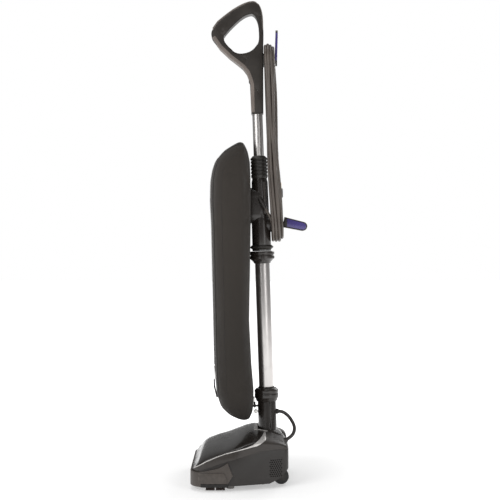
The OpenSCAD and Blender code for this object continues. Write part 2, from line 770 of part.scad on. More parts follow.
module upper_hook() {
  color("#4c3f96") on_handle() {
    translate([0, 0, z_high]) along_y(post_end_high - 18, post_end_high + 2, hook_pin_r);
    difference() {
      hook_blade();
      translate([-20, 0, tip_z]) cube([40, 100, 40]);
    }
  }
}

module upper_hook_tip() {
  color("#1c1a22") on_handle() intersection() {
    hook_blade();
    translate([-20, 0, tip_z]) cube([40, 100, 40]);
  }
}

module lower_hook_post() {
  color("#232120") on_handle() difference() {
    hook_post(z_low, core_d/2 + 3 + seat, post_end_low);
  }
}

// Paddle outline seen from the side, drawn in by an amount
paddle_len = 45.7;
module paddle(in, half) {
  translate([-half, 0, 0]) rotate([90, 0, 90]) linear_extrude(2*half)
    polygon(concat([[0, -11 + in]], arc([paddle_len, -1], 10.5 - in, -90, 90, 12), [[0, 13 - in]]));
}
module at_paddle() translate([0, post_end_low + 1, z_low + 3]) rotate([-lean - 10, 0, 0]) children();
module lower_hook() {
  color("#4c3f96") on_handle() {
    difference() {
      at_paddle() paddle(2.5, 14);
      translate([-50, post_end_low - 49.5, z_low - 50]) cube([100, 50, 100]);
    }
    translate([0, 0, z_low]) along_y(post_end_low - 20, post_end_low + 6, hook_pin_r);
  }
}
module lower_hook_rim() {
  color("#1c1a22") on_handle() difference() {
    at_paddle() paddle(0, 12);
    at_paddle() paddle(2.5, 15);
    translate([-50, post_end_low - 49.5, z_low - 50]) cube([100, 50, 100]);
    translate([0, 0, z_low]) along_y(0, 100, hook_pin_r + seat);
  }
}

// Bag: [share of height, share of depth, offset of the back, share of width]
bag_stations = [[0, 0.28, -12, 0.5], [0.005, 0.44, -7, 0.6], [0.02, 0.68, -5, 0.71], [0.05, 0.9, -3, 0.84],
  [0.1, 1, -1.5, 0.95], [0.19, 1.01, -5, 1], [0.35, 1, -7, 1], [0.54, 0.98, -1.5, 1], [0.7, 0.97, 4, 1],
  [0.79, 0.98, 7, 0.99], [0.86, 0.95, 7, 0.96], [0.9, 0.89, 7, 0.92], [0.935, 0.79, 7, 0.85],
  [0.967, 0.58, 6, 0.73], [0.986, 0.33, 4, 0.6], [1, 0.12, 0, 0.45]];

function bag_ring(s, in) =
  let(front = bag_back - s[1]*bag_depth + in, back = bag_back + s[2] - in, w = s[3]*bag_w/2 - in,
      z = bag_z0 + in + s[0]*(bag_len - 2*in), d = max((back - front)/2, 1), c = (back + front)/2)
  [for (i = [0:39]) let(a = 9*i, e = sin(a) > 0 ? 0.5 : 0.8)
    [w*sign(cos(a))*pow(abs(cos(a)), e), c + d*sign(sin(a))*pow(abs(sin(a)), e), z]];
module bag_form(in) loft([for (s = bag_stations) bag_ring(s, in)]);

module bag_shell() {
  color("#3a3530") on_handle() difference() {
    bag_form(0);
    bag_form(cloth_t);
    dock_shape(-50, 0, 8 + seat);
  }
}

module paper_bag() {
  color("#c8b48c") on_handle() difference() {
    bag_form(cloth_t + 7);
    bag_form(cloth_t + 8);
    translate([0, 0, z_dock]) along_y(-60, 0, dock_r + 2);
  }
}

module inlet_elbow() {
  color("#2b2926") on_handle() translate([0, 0, z_dock]) difference() {
    along_y(-38, -14, dock_r);
    along_y(-39, -13, dock_r - 2);
  }
}

module bag_collar() {
  color("#2b2926") on_handle() difference() {
    dock_shape(-29, -core_d/2 - 2 - seat, 8);
    translate([0, 0, z_dock]) along_y(-60, 0, dock_r + seat);
  }
}

// Zipper slider on the front of the bag, and the pull that hangs from it
zip_y = bag_back - 1.01*bag_depth;
module at_slider() translate([0, zip_y - 0.5, z_zip]) children();
module zipper_slider() {
  color("#b9b7b4") on_handle() difference() {
    at_slider() union() {
      box([-4.5, -3, -5], [4.5, 0.4, 6]);
      for (x = [-3.4, 1.4]) translate([x, 0, 0]) hull() {
        translate([0, -3, 0]) along_x(0, 2, 2.6);
        box([0, -2, -4], [2, 0, 4]);
      }
    }
    at_slider() translate([0, -3.6, 0]) along_x(-9, 9, 0.7 + fit);
    bag_form(0);
  }
}

module zipper_pull() {
  color("#c9c7c4") on_handle() at_slider() translate([0, -3.6, 0]) {
    along_x(-5.3, 5.3, 0.7);
    for (x = [-5.7, 4.9]) box([x, -0.8, -31], [x + 0.8, 0.8, 1]);
    box([-5.5, -0.6, -32], [5.5, 0.6, -30]);
    box([-4, -3.4, -46], [4, -0.3, -29]);
    translate([0, 0, -45]) rotate([12, 0, 0]) box([-3.8, -3.6, -27], [3.8, -0.5, 0]);
  }
}

// Stud on the neck, and the clip and hook that hold the foot of the bag to it
stud_r = 4.7;
stud_stem_r = 2.5;
z_stud = z_collar - 31;
z_hook = z_collar - 20;
module neck_ring() {
  color("#b9b7b4") on_handle() translate([0, 0, z_stud]) {
    along_y(-neck_r - 4, -neck_r + 3.5, stud_stem_r);
    translate([0, -neck_r - 4.9, 0]) along_x(-3, 3, stud_r);
  }
}
module tether_clip() {
  color("#a3a19e") on_handle() difference() {
    box([-5, -36, z_collar - 9], [5, -neck_r - 7, z_collar + 3]);
    bag_form(0);
  }
}
module tether_hook() {
  color("#201f1d") on_handle() difference() {
    union() {
      box([-3, -34, z_hook], [3, -neck_r + 2.5, z_hook + 4]);
      box([-3.5, -neck_r - 10, z_hook - 2], [3.5, -neck_r - 5, z_collar - 9 - seat]);
    }
    bag_form(0);
  }
}

// Motor lead and its gland on the neck
module neck_gland() {
  color("#232323") difference() {
    lead_part(lead_from - 1.6*(lead_route[1] - lead_from), lead_from, lead_d/2 + 3, lead_d/2 + 1.5);
    on_handle() cylinder(r = neck_r + seat, h = neck_h);
  }
}
module motor_lead() {
  color("#2d2b29") sweep(smooth(lead_route), lead_d/2, 10);
}

// Power cord
relief_from = [15, -4, z_low + 65];
relief_to = [26, 12, z_low + 35];
module relief_bore() lead_part(relief_from - (relief_to - relief_from), relief_to, 6 + seat, 6 + seat);
tail_route = [relief_to, [28, 16, z_low + 26], [30, 20, z_low + 15], [30.5, 22.5, z_low + 7],
  [30.5, 24, z_low]];
module strain_relief() {
  color("#1e1d1c") on_handle() lead_part(relief_from, relief_to, 6, cord_d/2 + 1);
}
module cord_hank() {
  color("#5a544e") on_handle() {
    difference() {
      hull() {
        translate([0, 0, z_low]) along_y(hank_y, hank_y + hank_t, hank_r);
        translate([0, 0, z_high]) along_y(hank_y - hank_lean, post_end_high, hank_r);
      }
      hull() {
        translate([0, 0, z_low]) along_y(hank_y - 9, hank_y + hank_t + 9, post_r);
        translate([0, 0, z_high]) along_y(hank_y - 13, post_end_high + 9, post_r);
      }
    }
    sweep(smooth(tail_route), cord_d/2, 10);
  }
}

module at_plug() translate([1 - hank_r, hank_y + 19, z_low + 30]) rotate([0, -12, 0]) children();
module plug() {
  color("#23211f") on_handle() at_plug() difference() {
    rotate_extrude() polygon([[0, 0], [cord_d/2 + 1, 0], [cord_d/2 + 2.5, 24], [9, 32], [12.5, 37], [13, 56], [0, 56]]);
    blade_set(seat);
  }
}
module blade_set(in) {
  for (x = [-6.3, 6.3]) box([x - 0.75 - in, -6, 50 - in], [x + 0.75 + in, 0.5, 72]);
  translate([0, 7.5, 50]) cylinder(r = 2.4 + in, h = 22);
}
module plug_blades() {
  color("#c8b06a") on_handle() at_plug() blade_set(0);
}

base_tray();
hood();
trim_left();
trim_right();
bumper();
sole_plate();
edge_brushes();
brush_bearings();
brush_roll();
brush_tufts();
drive_belt();
motor_can();
motor_mounts();
motor_shaft();
motor_pulley();
impeller();
impeller_housing();
grille_left();
grille_right();
wheel_left();
wheel_right();
wheel_axles();
front_glides();
pivot_bushes();
base_screws();
head_gland();
neck();
neck_collar();
neck_ring();
lower_tube();
tube_clamp();
seal_ring();
mid_body();
upper_collar();
upper_tube();
grip_left();
grip_right();
soft_grip();
grip_screws();
switch_rocker();
upper_hook_post();
upper_hook();
upper_hook_tip();
lower_hook_post();
lower_hook();
lower_hook_rim();
inlet_elbow();
bag_collar();
bag_shell();
paper_bag();
zipper_slider();
zipper_pull();
tether_clip();
tether_hook();
neck_gland();
motor_lead();
strain_relief();
cord_hank();
plug();
plug_blades();
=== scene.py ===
import json
import math
import random

import bpy
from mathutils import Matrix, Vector
from mathutils.bvhtree import BVHTree


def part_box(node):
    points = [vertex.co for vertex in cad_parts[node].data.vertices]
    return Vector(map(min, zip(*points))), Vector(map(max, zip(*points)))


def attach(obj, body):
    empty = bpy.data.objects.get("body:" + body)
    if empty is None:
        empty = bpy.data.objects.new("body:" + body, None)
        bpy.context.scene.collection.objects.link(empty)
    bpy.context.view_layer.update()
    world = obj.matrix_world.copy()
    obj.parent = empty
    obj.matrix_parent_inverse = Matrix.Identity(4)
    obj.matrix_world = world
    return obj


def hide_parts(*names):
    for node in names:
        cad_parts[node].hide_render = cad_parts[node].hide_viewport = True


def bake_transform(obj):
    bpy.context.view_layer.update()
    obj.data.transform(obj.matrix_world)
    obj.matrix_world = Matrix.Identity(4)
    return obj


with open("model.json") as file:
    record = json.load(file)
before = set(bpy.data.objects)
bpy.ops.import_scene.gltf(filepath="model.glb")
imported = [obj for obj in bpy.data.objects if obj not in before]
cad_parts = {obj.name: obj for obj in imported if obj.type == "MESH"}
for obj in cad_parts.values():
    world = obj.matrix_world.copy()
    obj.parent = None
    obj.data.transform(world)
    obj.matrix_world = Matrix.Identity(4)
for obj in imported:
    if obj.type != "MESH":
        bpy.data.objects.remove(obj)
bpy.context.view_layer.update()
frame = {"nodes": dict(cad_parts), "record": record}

# ---- Studio --------------------------------------------------------------------------------------
# A pale floor that glows as painted light, more strongly away from the machine, under four large soft
# lights, with a white surround that is dimmer to the surfaces than to the eye. The camera looks square at the left
# side, at half height.


def aim(thing, place, target):
    thing.location = place
    thing.rotation_euler = (Vector(target) - Vector(place)).to_track_quat("-Z", "Y").to_euler()


def add_camera():
    data = bpy.data.cameras.new("camera")
    data.lens = 73.5
    data.clip_end = 20
    camera = bpy.data.objects.new("camera", data)
    bpy.context.scene.collection.objects.link(camera)
    aim(camera, (2.4, 0, 0.535), (0, 0, 0.535))
    bpy.context.scene.camera = camera


def add_light(name, place, target, size, power, tall=1.0):
    data = bpy.data.lights.new(name, "AREA")
    data.shape = "RECTANGLE"
    data.size = size
    data.size_y = size * tall
    data.energy = power
    light = bpy.data.objects.new(name, data)
    bpy.context.scene.collection.objects.link(light)
    aim(light, place, target)


def add_floor():
    bpy.ops.mesh.primitive_plane_add(size=30, location=(0, 0, 0))
    floor = bpy.context.active_object
    floor.name = "floor"
    paint = bpy.data.materials.new("floor_paint")
    paint.use_nodes = True
    shader = paint.node_tree.nodes["Principled BSDF"]
    shader.inputs["Base Color"].default_value = (0.92, 0.92, 0.92, 1)
    shader.inputs["Roughness"].default_value = 0.8
    shader.inputs["Emission Color"].default_value = (1, 1, 1, 1)
    tree = paint.node_tree
    place = tree.nodes.new("ShaderNodeTexCoord").outputs["Object"]
    distance = tree.nodes.new("ShaderNodeVectorMath")
    distance.operation = "LENGTH"
    # The floor glows weakly beside the machine and fully far from it: painted light that whitens the far floor and
    # keeps the contact shadow.
    floor_painted_light = tree.nodes.new("ShaderNodeMapRange")
    floor_painted_light.interpolation_type = "SMOOTHSTEP"
    for socket, value in (("From Min", 0.15), ("From Max", 0.9), ("To Min", 0.4), ("To Max", 1.0)):
        floor_painted_light.inputs[socket].default_value = value
    tree.links.new(place, distance.inputs[0])
    tree.links.new(distance.outputs["Value"], floor_painted_light.inputs["Value"])
    tree.links.new(floor_painted_light.outputs["Result"], shader.inputs["Emission Strength"])
    floor.data.materials.append(paint)


def add_world():
    world = bpy.data.worlds.new("studio")
    bpy.context.scene.world = world
    world.use_nodes = True
    tree = world.node_tree
    sky = tree.nodes["Background"]
    sky.inputs["Color"].default_value = (1, 1, 1, 1)
    seen = tree.nodes.new("ShaderNodeLightPath").outputs["Is Camera Ray"]
    level = tree.nodes.new("ShaderNodeMapRange")
    level.inputs["To Min"].default_value = 0.24
    level.inputs["To Max"].default_value = 1.0
    tree.links.new(seen, level.inputs["Value"])
    tree.links.new(level.outputs["Result"], sky.inputs["Strength"])


bpy.context.scene.view_settings.view_transform = "Standard"
add_camera()
add_light("key", (1.9, -1.7, 1.7), (0, 0, 0.5), 1.5, 30, tall=1.4)
add_light("fill", (2.0, 1.6, 1.1), (0, 0, 0.5), 0.9, 11, tall=2.0)
add_light("top", (-0.2, -0.3, 2.6), (0, 0, 0.3), 1.2, 13)
add_light("back", (-1.8, 1.2, 1.4), (0, 0, 0.6), 1.0, 12)
add_floor()
add_world()

# ---- Base tray -----------------------------------------------------------------------------------
# The moulded tray that carries the motor, brush and wheels. Black ABS, spark-eroded inside and
# satin outside. Shared helpers follow: shader groups and the dressing of exact solids.


def new_group(name, inputs, outputs):
    group = bpy.data.node_groups.new(name, "ShaderNodeTree")
    for label, kind, value in inputs:
        socket = group.interface.new_socket(label, in_out="INPUT", socket_type=kind)
        socket.default_value = value
    for label, kind in outputs:
        group.interface.new_socket(label, in_out="OUTPUT", socket_type=kind)
    start = group.nodes.new("NodeGroupInput")
    end = group.nodes.new("NodeGroupOutput")
    return group, start.outputs, end.inputs


def node(tree, kind, links=(), **settings):
    made = tree.nodes.new(kind)
    for key, value in settings.items():
        setattr(made, key, value)
    for socket, value in links:
        if isinstance(value, bpy.types.NodeSocket):
            tree.links.new(value, made.inputs[socket])
        else:
            made.inputs[socket].default_value = value
    return made


def mathed(tree, operation, a, b=0.0, clamp=False):
    return node(tree, "ShaderNodeMath", [(0, a), (1, b)], operation=operation, use_clamp=clamp).outputs[0]


def spread(tree, value, low, high):
    ramp = node(tree, "ShaderNodeMapRange", [("Value", value), ("From Min", low), ("From Max", high)])
    return ramp.outputs["Result"]


def mixed(tree, amount, a, b):
    mix = node(tree, "ShaderNodeMix", data_type="RGBA")
    for socket, value in ((mix.inputs[0], amount), (mix.inputs[6], a), (mix.inputs[7], b)):
        if isinstance(value, bpy.types.NodeSocket):
            tree.links.new(value, socket)
        else:
            socket.default_value = value
    return mix.outputs[2]


def make_moulded_skin():
    """Mottled colour, spark-eroded grain, rubbed edges and settled dust of an injection moulding."""
    group, given, out = new_group("moulded_skin", [
        ("Colour", "NodeSocketColor", (0.02, 0.02, 0.02, 1)),
        ("Mottle colour", "NodeSocketColor", (0.03, 0.03, 0.03, 1)),
        ("Wear colour", "NodeSocketColor", (0.1, 0.1, 0.1, 1)),
        ("Wear", "NodeSocketFloat", 0.3),
        ("Dust", "NodeSocketFloat", 0.1),
        ("Grain size", "NodeSocketFloat", 1800.0),
        ("Grain depth", "NodeSocketFloat", 0.1),
        ("Roughness", "NodeSocketFloat", 0.5),
    ], [("Colour", "NodeSocketColor"), ("Roughness", "NodeSocketFloat"), ("Normal", "NodeSocketVector")])
    place = node(group, "ShaderNodeTexCoord").outputs["Object"]
    geometry = node(group, "ShaderNodeNewGeometry").outputs
    mottle = node(group, "ShaderNodeTexNoise", [("Vector", place), ("Scale", 22.0), ("Detail", 5.0)])
    patch = spread(group, mottle.outputs["Fac"], 0.35, 0.68)
    grain = node(group, "ShaderNodeTexNoise",
                 [("Vector", place), ("Scale", given["Grain size"]), ("Detail", 2.0)])
    scuff = node(group, "ShaderNodeTexNoise", [("Vector", place), ("Scale", 160.0), ("Detail", 6.0)])
    edge = spread(group, geometry["Pointiness"], 0.53, 0.62)
    rubbed = mathed(group, "MULTIPLY", edge, spread(group, scuff.outputs["Fac"], 0.45, 0.6), clamp=True)
    rubbed = mathed(group, "MULTIPLY", rubbed, given["Wear"])
    up = node(group, "ShaderNodeSeparateXYZ", [("Vector", geometry["Normal"])]).outputs["Z"]
    settled = mathed(group, "MULTIPLY", spread(group, up, 0.3, 1.0), spread(group, scuff.outputs["Fac"], 0.4, 0.75))
    settled = mathed(group, "MULTIPLY", settled, given["Dust"])
    colour = mixed(group, patch, given["Colour"], given["Mottle colour"])
    colour = mixed(group, rubbed, colour, given["Wear colour"])
    colour = mixed(group, settled, colour, (0.35, 0.33, 0.3, 1))
    rough = mathed(group, "ADD", mathed(group, "MULTIPLY", patch, 0.08), given["Roughness"])
    rough = mathed(group, "ADD", rough, mathed(group, "MULTIPLY", rubbed, 0.25), clamp=True)
    bump = node(group, "ShaderNodeBump", [("Height", grain.outputs["Fac"]),
                                          ("Strength", given["Grain depth"]), ("Distance", 0.0002)])
    group.links.new(colour, out["Colour"])
    group.links.new(rough, out["Roughness"])
    group.links.new(bump.outputs["Normal"], out["Normal"])
    return group


MOULDED_SKIN = make_moulded_skin()


def finish_material(name, group, values, **shader_values):
    material = bpy.data.materials.new(name)
    material.use_nodes = True
    tree = material.node_tree
    shader = tree.nodes["Principled BSDF"]
    for label, value in shader_values.items():
        shader.inputs[label.replace("_", " ")].default_value = value
    skin = tree.nodes.new("ShaderNodeGroup")
    skin.node_tree = group
    for label, value in values.items():
        skin.inputs[label].default_value = value
    tree.links.new(skin.outputs["Colour"], shader.inputs["Base Color"])
    tree.links.new(skin.outputs["Roughness"], shader.inputs["Roughness"])
    tree.links.new(skin.outputs["Normal"], shader.inputs["Normal"])
    return material


def plastic(name, colour, roughness, grain=0.1, size=1800.0, wear=0.3, dust=0.05, mottle=1.35,
            **shader_values):
    lighter = tuple(min(1, c * mottle) for c in colour)
    worn = tuple(min(1, c * 2.2 + 0.03) for c in colour)
    return finish_material(name, MOULDED_SKIN, {
        "Colour": (*colour, 1), "Mottle colour": (*lighter, 1), "Wear colour": (*worn, 1), "Wear": wear,
        "Dust": dust, "Grain size": size, "Grain depth": grain, "Roughness": roughness}, **shader_values)


def only(piece):
    if bpy.context.mode != "OBJECT":
        bpy.ops.object.mode_set(mode="OBJECT")
    bpy.ops.object.select_all(action="DESELECT")
    piece.select_set(True)
    bpy.context.view_layer.objects.active = piece


def apply_all(piece):
    only(piece)
    for modifier in list(piece.modifiers):
        bpy.ops.object.modifier_apply(modifier=modifier.name)


def edit(piece, select="SELECT"):
    only(piece)
    bpy.ops.object.mode_set(mode="EDIT")
    bpy.ops.mesh.select_all(action=select)


def soften(piece, radius, segments=2, angle=32, smooth=38):
    if radius:
        bevel = piece.modifiers.new("edge_radius", "BEVEL")
        bevel.width = radius
        bevel.segments = segments
        bevel.limit_method = "ANGLE"
        bevel.angle_limit = math.radians(angle)
        apply_all(piece)
    only(piece)
    bpy.ops.object.shade_smooth_by_angle(angle=math.radians(smooth))


def body_with(node_name):
    return next(b for b, members in frame["record"]["behaviour"]["bodies"].items() if node_name in members)


def settle(piece, name, material, like):
    """Names a finished piece and gives it the material, slot and body of the CAD node it is like."""
    if bpy.context.mode != "OBJECT":
        bpy.ops.object.mode_set(mode="OBJECT")
    piece.name = name
    piece.data.materials.clear()
    piece.data.materials.append(material)
    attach(piece, body_with(like))
    return piece


def copied(node_name):
    """A loose copy of a CAD node with its doubled points merged and its flat faces whole."""
    source = frame["nodes"][node_name]
    piece = source.copy()
    piece.data = source.data.copy()
    for key in list(piece.keys()):
        del piece[key]
    piece.parent = None
    bpy.context.scene.collection.objects.link(piece)
    piece.hide_render = piece.hide_viewport = False
    piece.hide_set(False)
    edit(piece)
    bpy.ops.mesh.remove_doubles(threshold=0.00001)
    bpy.ops.mesh.dissolve_limited(angle_limit=math.radians(0.6))
    bpy.ops.object.mode_set(mode="OBJECT")
    return piece


def dress(node_name, material, radius=0.0004, segments=2, smooth=38):
    """A CAD node whose shape is already true, with its corners broken by a small radius."""
    piece = copied(node_name)
    soften(piece, radius, segments, smooth=smooth)
    settle(piece, node_name + "_finished", material, node_name)
    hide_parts(node_name)
    return piece


def surface_patch(piece, name, cuts, facing, thickness, material, like, edge=0.0004):
    """Turns a loose copy into a thin skin on its surface that faces one way and lies behind each cut."""
    for place, outward in cuts:
        edit(piece)
        bpy.ops.mesh.bisect(plane_co=place, plane_no=outward, clear_outer=True)
    edit(piece, "DESELECT")
    bpy.ops.object.mode_set(mode="OBJECT")
    way = Vector(facing)
    for polygon in piece.data.polygons:
        polygon.select = polygon.normal.dot(way) < 0.25
    bpy.ops.object.mode_set(mode="EDIT")
    bpy.ops.mesh.delete(type="FACE")
    bpy.ops.object.mode_set(mode="OBJECT")
    skin = piece.modifiers.new("skin", "SOLIDIFY")
    skin.thickness = thickness
    skin.offset = 1
    apply_all(piece)
    soften(piece, edge, 2)
    return settle(piece, name, material, like)


SATIN_BLACK = plastic("satin_black", (0.016, 0.013, 0.011), 0.34, grain=0.12, wear=0.25, dust=0.04)
MATT_BLACK = plastic("matt_black", (0.018, 0.0155, 0.013), 0.46, grain=0.25)
dress("base_tray", SATIN_BLACK, radius=0.0008, segments=3)
dress("motor_mounts", MATT_BLACK)

# ---- Hood and rear deck --------------------------------------------------------------------------
# One moulding in two finishes: the top is polished and lacquered, the flanks and the deck round
# the neck are satin. The change of finish follows the silver line that hides it.
GLOSS_BLACK = plastic("gloss_black", (0.013, 0.0105, 0.009), 0.2, grain=0.02, wear=0.15, Coat_Weight=0.25)
DECK_SATIN = plastic("deck_satin", (0.03, 0.0245, 0.021), 0.36, grain=0.18, wear=0.3, dust=0.05)
CLIMB_AT = Vector((0, 0.0205, 0.1045))
CLIMB_OUT = Vector((0, -0.522, 0.853))
SHOULDER = [(-0.129, 0.046), (-0.118, 0.0535), (-0.099, 0.065), (-0.076, 0.075), (-0.054, 0.083),
            (-0.031, 0.089), (-0.008, 0.094), (0.009, 0.097), (0.03, 0.098)]


def along(table, at):
    """Straight-line reading of a table of (place, value)."""
    for (a, u), (b, v) in zip(table, table[1:]):
        if at <= b:
            return u + (v - u) * max(at - a, 0) / (b - a)
    return table[-1][1]


def make_hood():
    hood = copied("hood")
    edit(hood)
    bpy.ops.mesh.bisect(plane_co=CLIMB_AT, plane_no=CLIMB_OUT)
    soften(hood, 0.0006, 2, angle=40, smooth=44)
    settle(hood, "hood_finished", DECK_SATIN, "hood")
    hood.data.materials.append(GLOSS_BLACK)
    for polygon in hood.data.polygons:
        middle = polygon.center
        polished = middle.z > along(SHOULDER, middle.y) + 0.0002 and (middle - CLIMB_AT).dot(CLIMB_OUT) > 0
        polygon.material_index = 1 if polished else 0
    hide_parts("hood")


make_hood()

# ---- Silver lines --------------------------------------------------------------------------------
# Silver-painted mouldings pressed into the hood's shoulder. Each climbs to a U-shaped frame round
# the front of the slot that the neck tilts through.
SILVER_PAINT = plastic("silver_paint", (0.58, 0.56, 0.54), 0.3, grain=0.05, wear=0.2, mottle=1.1,
                       Metallic=0.45)
for name in ("trim_left", "trim_right"):
    dress(name, SILVER_PAINT, radius=0.0002)
surface_patch(copied("hood"), "slot_frame", [((0.041, 0, 0), (1, 0, 0)), ((-0.041, 0, 0), (-1, 0, 0)),
                                     ((0, 0.0095, 0), (0, -1, 0)), ((0, 0.040, 0), (0, 1, 0))],
              (0, 0, 1), 0.0012, SILVER_PAINT, "trim_left")

# ---- Bumper --------------------------------------------------------------------------------------
# A softer grey-brown moulding round the front, with a raised panel on each cheek. Under the cheeks
# sit the black beds of the edge brushes, which sweep along a skirting board.
BUMPER_GREY = plastic("bumper_grey", (0.056, 0.046, 0.039), 0.42, grain=0.35, wear=0.5)
BRISTLE = plastic("bristle_nylon", (0.03, 0.02, 0.016), 0.5, grain=0.1)
BRUSH_BED = plastic("brush_bed", (0.008, 0.007, 0.006), 0.6, grain=0.3)
dress("bumper", BUMPER_GREY, radius=0.0016, segments=3)


def cheek_panel(side, name):
    cuts = [((0, -0.114, 0), (0, -1, 0)), ((0, -0.052, 0), (0, 1, 0)), ((0, 0, 0.0185), (0, 0, -1)),
            ((0, 0, 0.0415), (0, 0, 1)), ((0, -0.057, 0.0415), (0, 0.92, 0.4))]
    surface_patch(copied("bumper"), name, cuts, (side, -0.5, 0), 0.002, BUMPER_GREY, "bumper", edge=0.0016)


def brush_bed(side, name):
    cuts = [((0, -0.109, 0), (0, -1, 0)), ((0, -0.047, 0), (0, 1, 0)), ((0, 0, 0.0172), (0, 0, 1))]
    surface_patch(copied("bumper"), name, cuts, (side, -0.5, 0), 0.0013, BRUSH_BED, "bumper", edge=0.0003)


def brush_tuft(place, angle, length, radius):
    bpy.ops.mesh.primitive_cone_add(vertices=6, radius1=radius * 1.5, radius2=radius, depth=length, location=place,
                                    rotation=angle)
    return bpy.context.active_object


def joined(pieces):
    only(pieces[0])
    for piece in pieces:
        piece.select_set(True)
    bpy.ops.object.join()
    bpy.ops.object.transform_apply(location=True, rotation=True, scale=True)
    return bpy.context.active_object


def edge_brushes():
    low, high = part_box("edge_brushes")
    chance = random.Random(4)
    tufts = []
    for side in (-1, 1):
        for run in (0, 1):
            middle = (low[1] + high[1]) / 2 + (run - 0.5) * (high[1] - low[1] + 0.003) / 2
            for k in range(11):
                for row in (0, 1):
                    y = middle + (k - 5) * 0.0018
                    x = side * (high[0] - 0.0015 - row * 0.003)
                    lean = (0.1 * chance.uniform(-1, 1), side * -0.25, 0)
                    tufts.append(brush_tuft((x, y, 0.0062), lean, 0.009, 0.0007))
    for side in (-1, 1):
        bpy.ops.mesh.primitive_cube_add(size=1, location=(side * (high[0] - 0.003), (low[1] + high[1]) / 2, 0.0098))
        bed = bpy.context.active_object
        bed.scale = (0.006, high[1] - low[1], 0.002)
        tufts.append(bed)
    piece = joined(tufts)
    settle(piece, "edge_brushes_finished", BRISTLE, "edge_brushes")
    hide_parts("edge_brushes")


for side, hand in ((1, "left"), (-1, "right")):
    cheek_panel(side, "cheek_panel_" + hand)
    brush_bed(side, "brush_bed_" + hand)
edge_brushes()

# ---- Exhaust grilles -----------------------------------------------------------------------------
# Inserts of diamond mesh in the rear flanks, where the motor's air leaves. Same black moulding as
# the tray, seen against a near-black sheet that is painted shade for the dark inside of the head.
# The near-black sheet behind each grille is painted shade: it darkens the holes as the inside of the head would.
GRILLE_SHADE = plastic("filter_foam", (0.004, 0.004, 0.004), 0.95, grain=0.6, size=900.0)


def painted_shade_sheet(node_name, name):
    """A near-black sheet just behind a grille, turned with it about the vertical: painted shade that darkens its
    holes.
    """
    low, high = (Vector(corner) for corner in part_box(node_name))
    middle = (low + high) / 2
    side = 1 if middle.x > 0 else -1
    turn = math.asin((high.x - low.x - 0.002) / 0.034)
    inward = Vector((-side * math.cos(turn), -math.sin(turn), 0))
    bpy.ops.mesh.primitive_cube_add(size=1, location=middle + inward * 0.0028, rotation=(0, 0, side * turn))
    pad = bpy.context.active_object
    pad.scale = (0.0016, 0.031, 0.041)
    bpy.ops.object.transform_apply(location=True, rotation=True, scale=True)
    settle(pad, name, GRILLE_SHADE, node_name)


for name in ("grille_left", "grille_right"):
    dress(name, SATIN_BLACK, radius=0)
    painted_shade_sheet(name, name + "_foam")

# ---- Sole plate, screws and glides ---------------------------------------------------------------
# A pressed steel plate closes the brush chamber. Plated screws hold the tray; two nylon discs
# carry the front of the head on a hard floor.


def make_drawn_metal():
    """Fine streaks along a drawn or ground surface, with dull stains."""
    group, given, out = new_group("drawn_metal", [
        ("Colour", "NodeSocketColor", (0.7, 0.7, 0.7, 1)),
        ("Stain colour", "NodeSocketColor", (0.45, 0.44, 0.42, 1)),
        ("Streak", "NodeSocketFloat", 0.15),
        ("Roughness", "NodeSocketFloat", 0.25),
    ], [("Colour", "NodeSocketColor"), ("Roughness", "NodeSocketFloat"), ("Normal", "NodeSocketVector")])
    place = node(group, "ShaderNodeTexCoord").outputs["Object"]
    length = node(group, "ShaderNodeMapping", [("Vector", place), ("Scale", (900.0, 900.0, 6.0))])
    streak = node(group, "ShaderNodeTexNoise", [("Vector", length.outputs[0]), ("Scale", 1.0), ("Detail", 3.0)])
    haze = node(group, "ShaderNodeTexNoise", [("Vector", place), ("Scale", 30.0), ("Detail", 6.0)])
    stain = mathed(group, "MULTIPLY", spread(group, haze.outputs["Fac"], 0.5, 0.8), 0.35)
    colour = mixed(group, stain, given["Colour"], given["Stain colour"])
    rough = mathed(group, "MULTIPLY", streak.outputs["Fac"], given["Streak"])
    rough = mathed(group, "ADD", rough, given["Roughness"])
    rough = mathed(group, "ADD", rough, mathed(group, "MULTIPLY", stain, 0.3), clamp=True)
    bump = node(group, "ShaderNodeBump", [("Height", streak.outputs["Fac"]), ("Strength", 0.06),
                                          ("Distance", 0.0001)])
    group.links.new(colour, out["Colour"])
    group.links.new(rough, out["Roughness"])
    group.links.new(bump.outputs["Normal"], out["Normal"])
    return group


DRAWN_METAL = make_drawn_metal()


def metal(name, colour, roughness, streak=0.15, **shader_values):
    stained = tuple(c * 0.62 for c in colour)
    return finish_material(name, DRAWN_METAL, {
        "Colour": (*colour, 1), "Stain colour": (*stained, 1), "Streak": streak, "Roughness": roughness},
        Metallic=1.0, **shader_values)


SHEET_STEEL = metal("sheet_steel", (0.3, 0.29, 0.28), 0.38, streak=0.25)
PLATED = metal("plated_steel", (0.62, 0.61, 0.59), 0.25)
MID_GREY = plastic("mid_grey", (0.2, 0.19, 0.18), 0.5, grain=0.2)
dress("sole_plate", SHEET_STEEL)
dress("front_glides", MID_GREY, radius=0.001, segments=3)


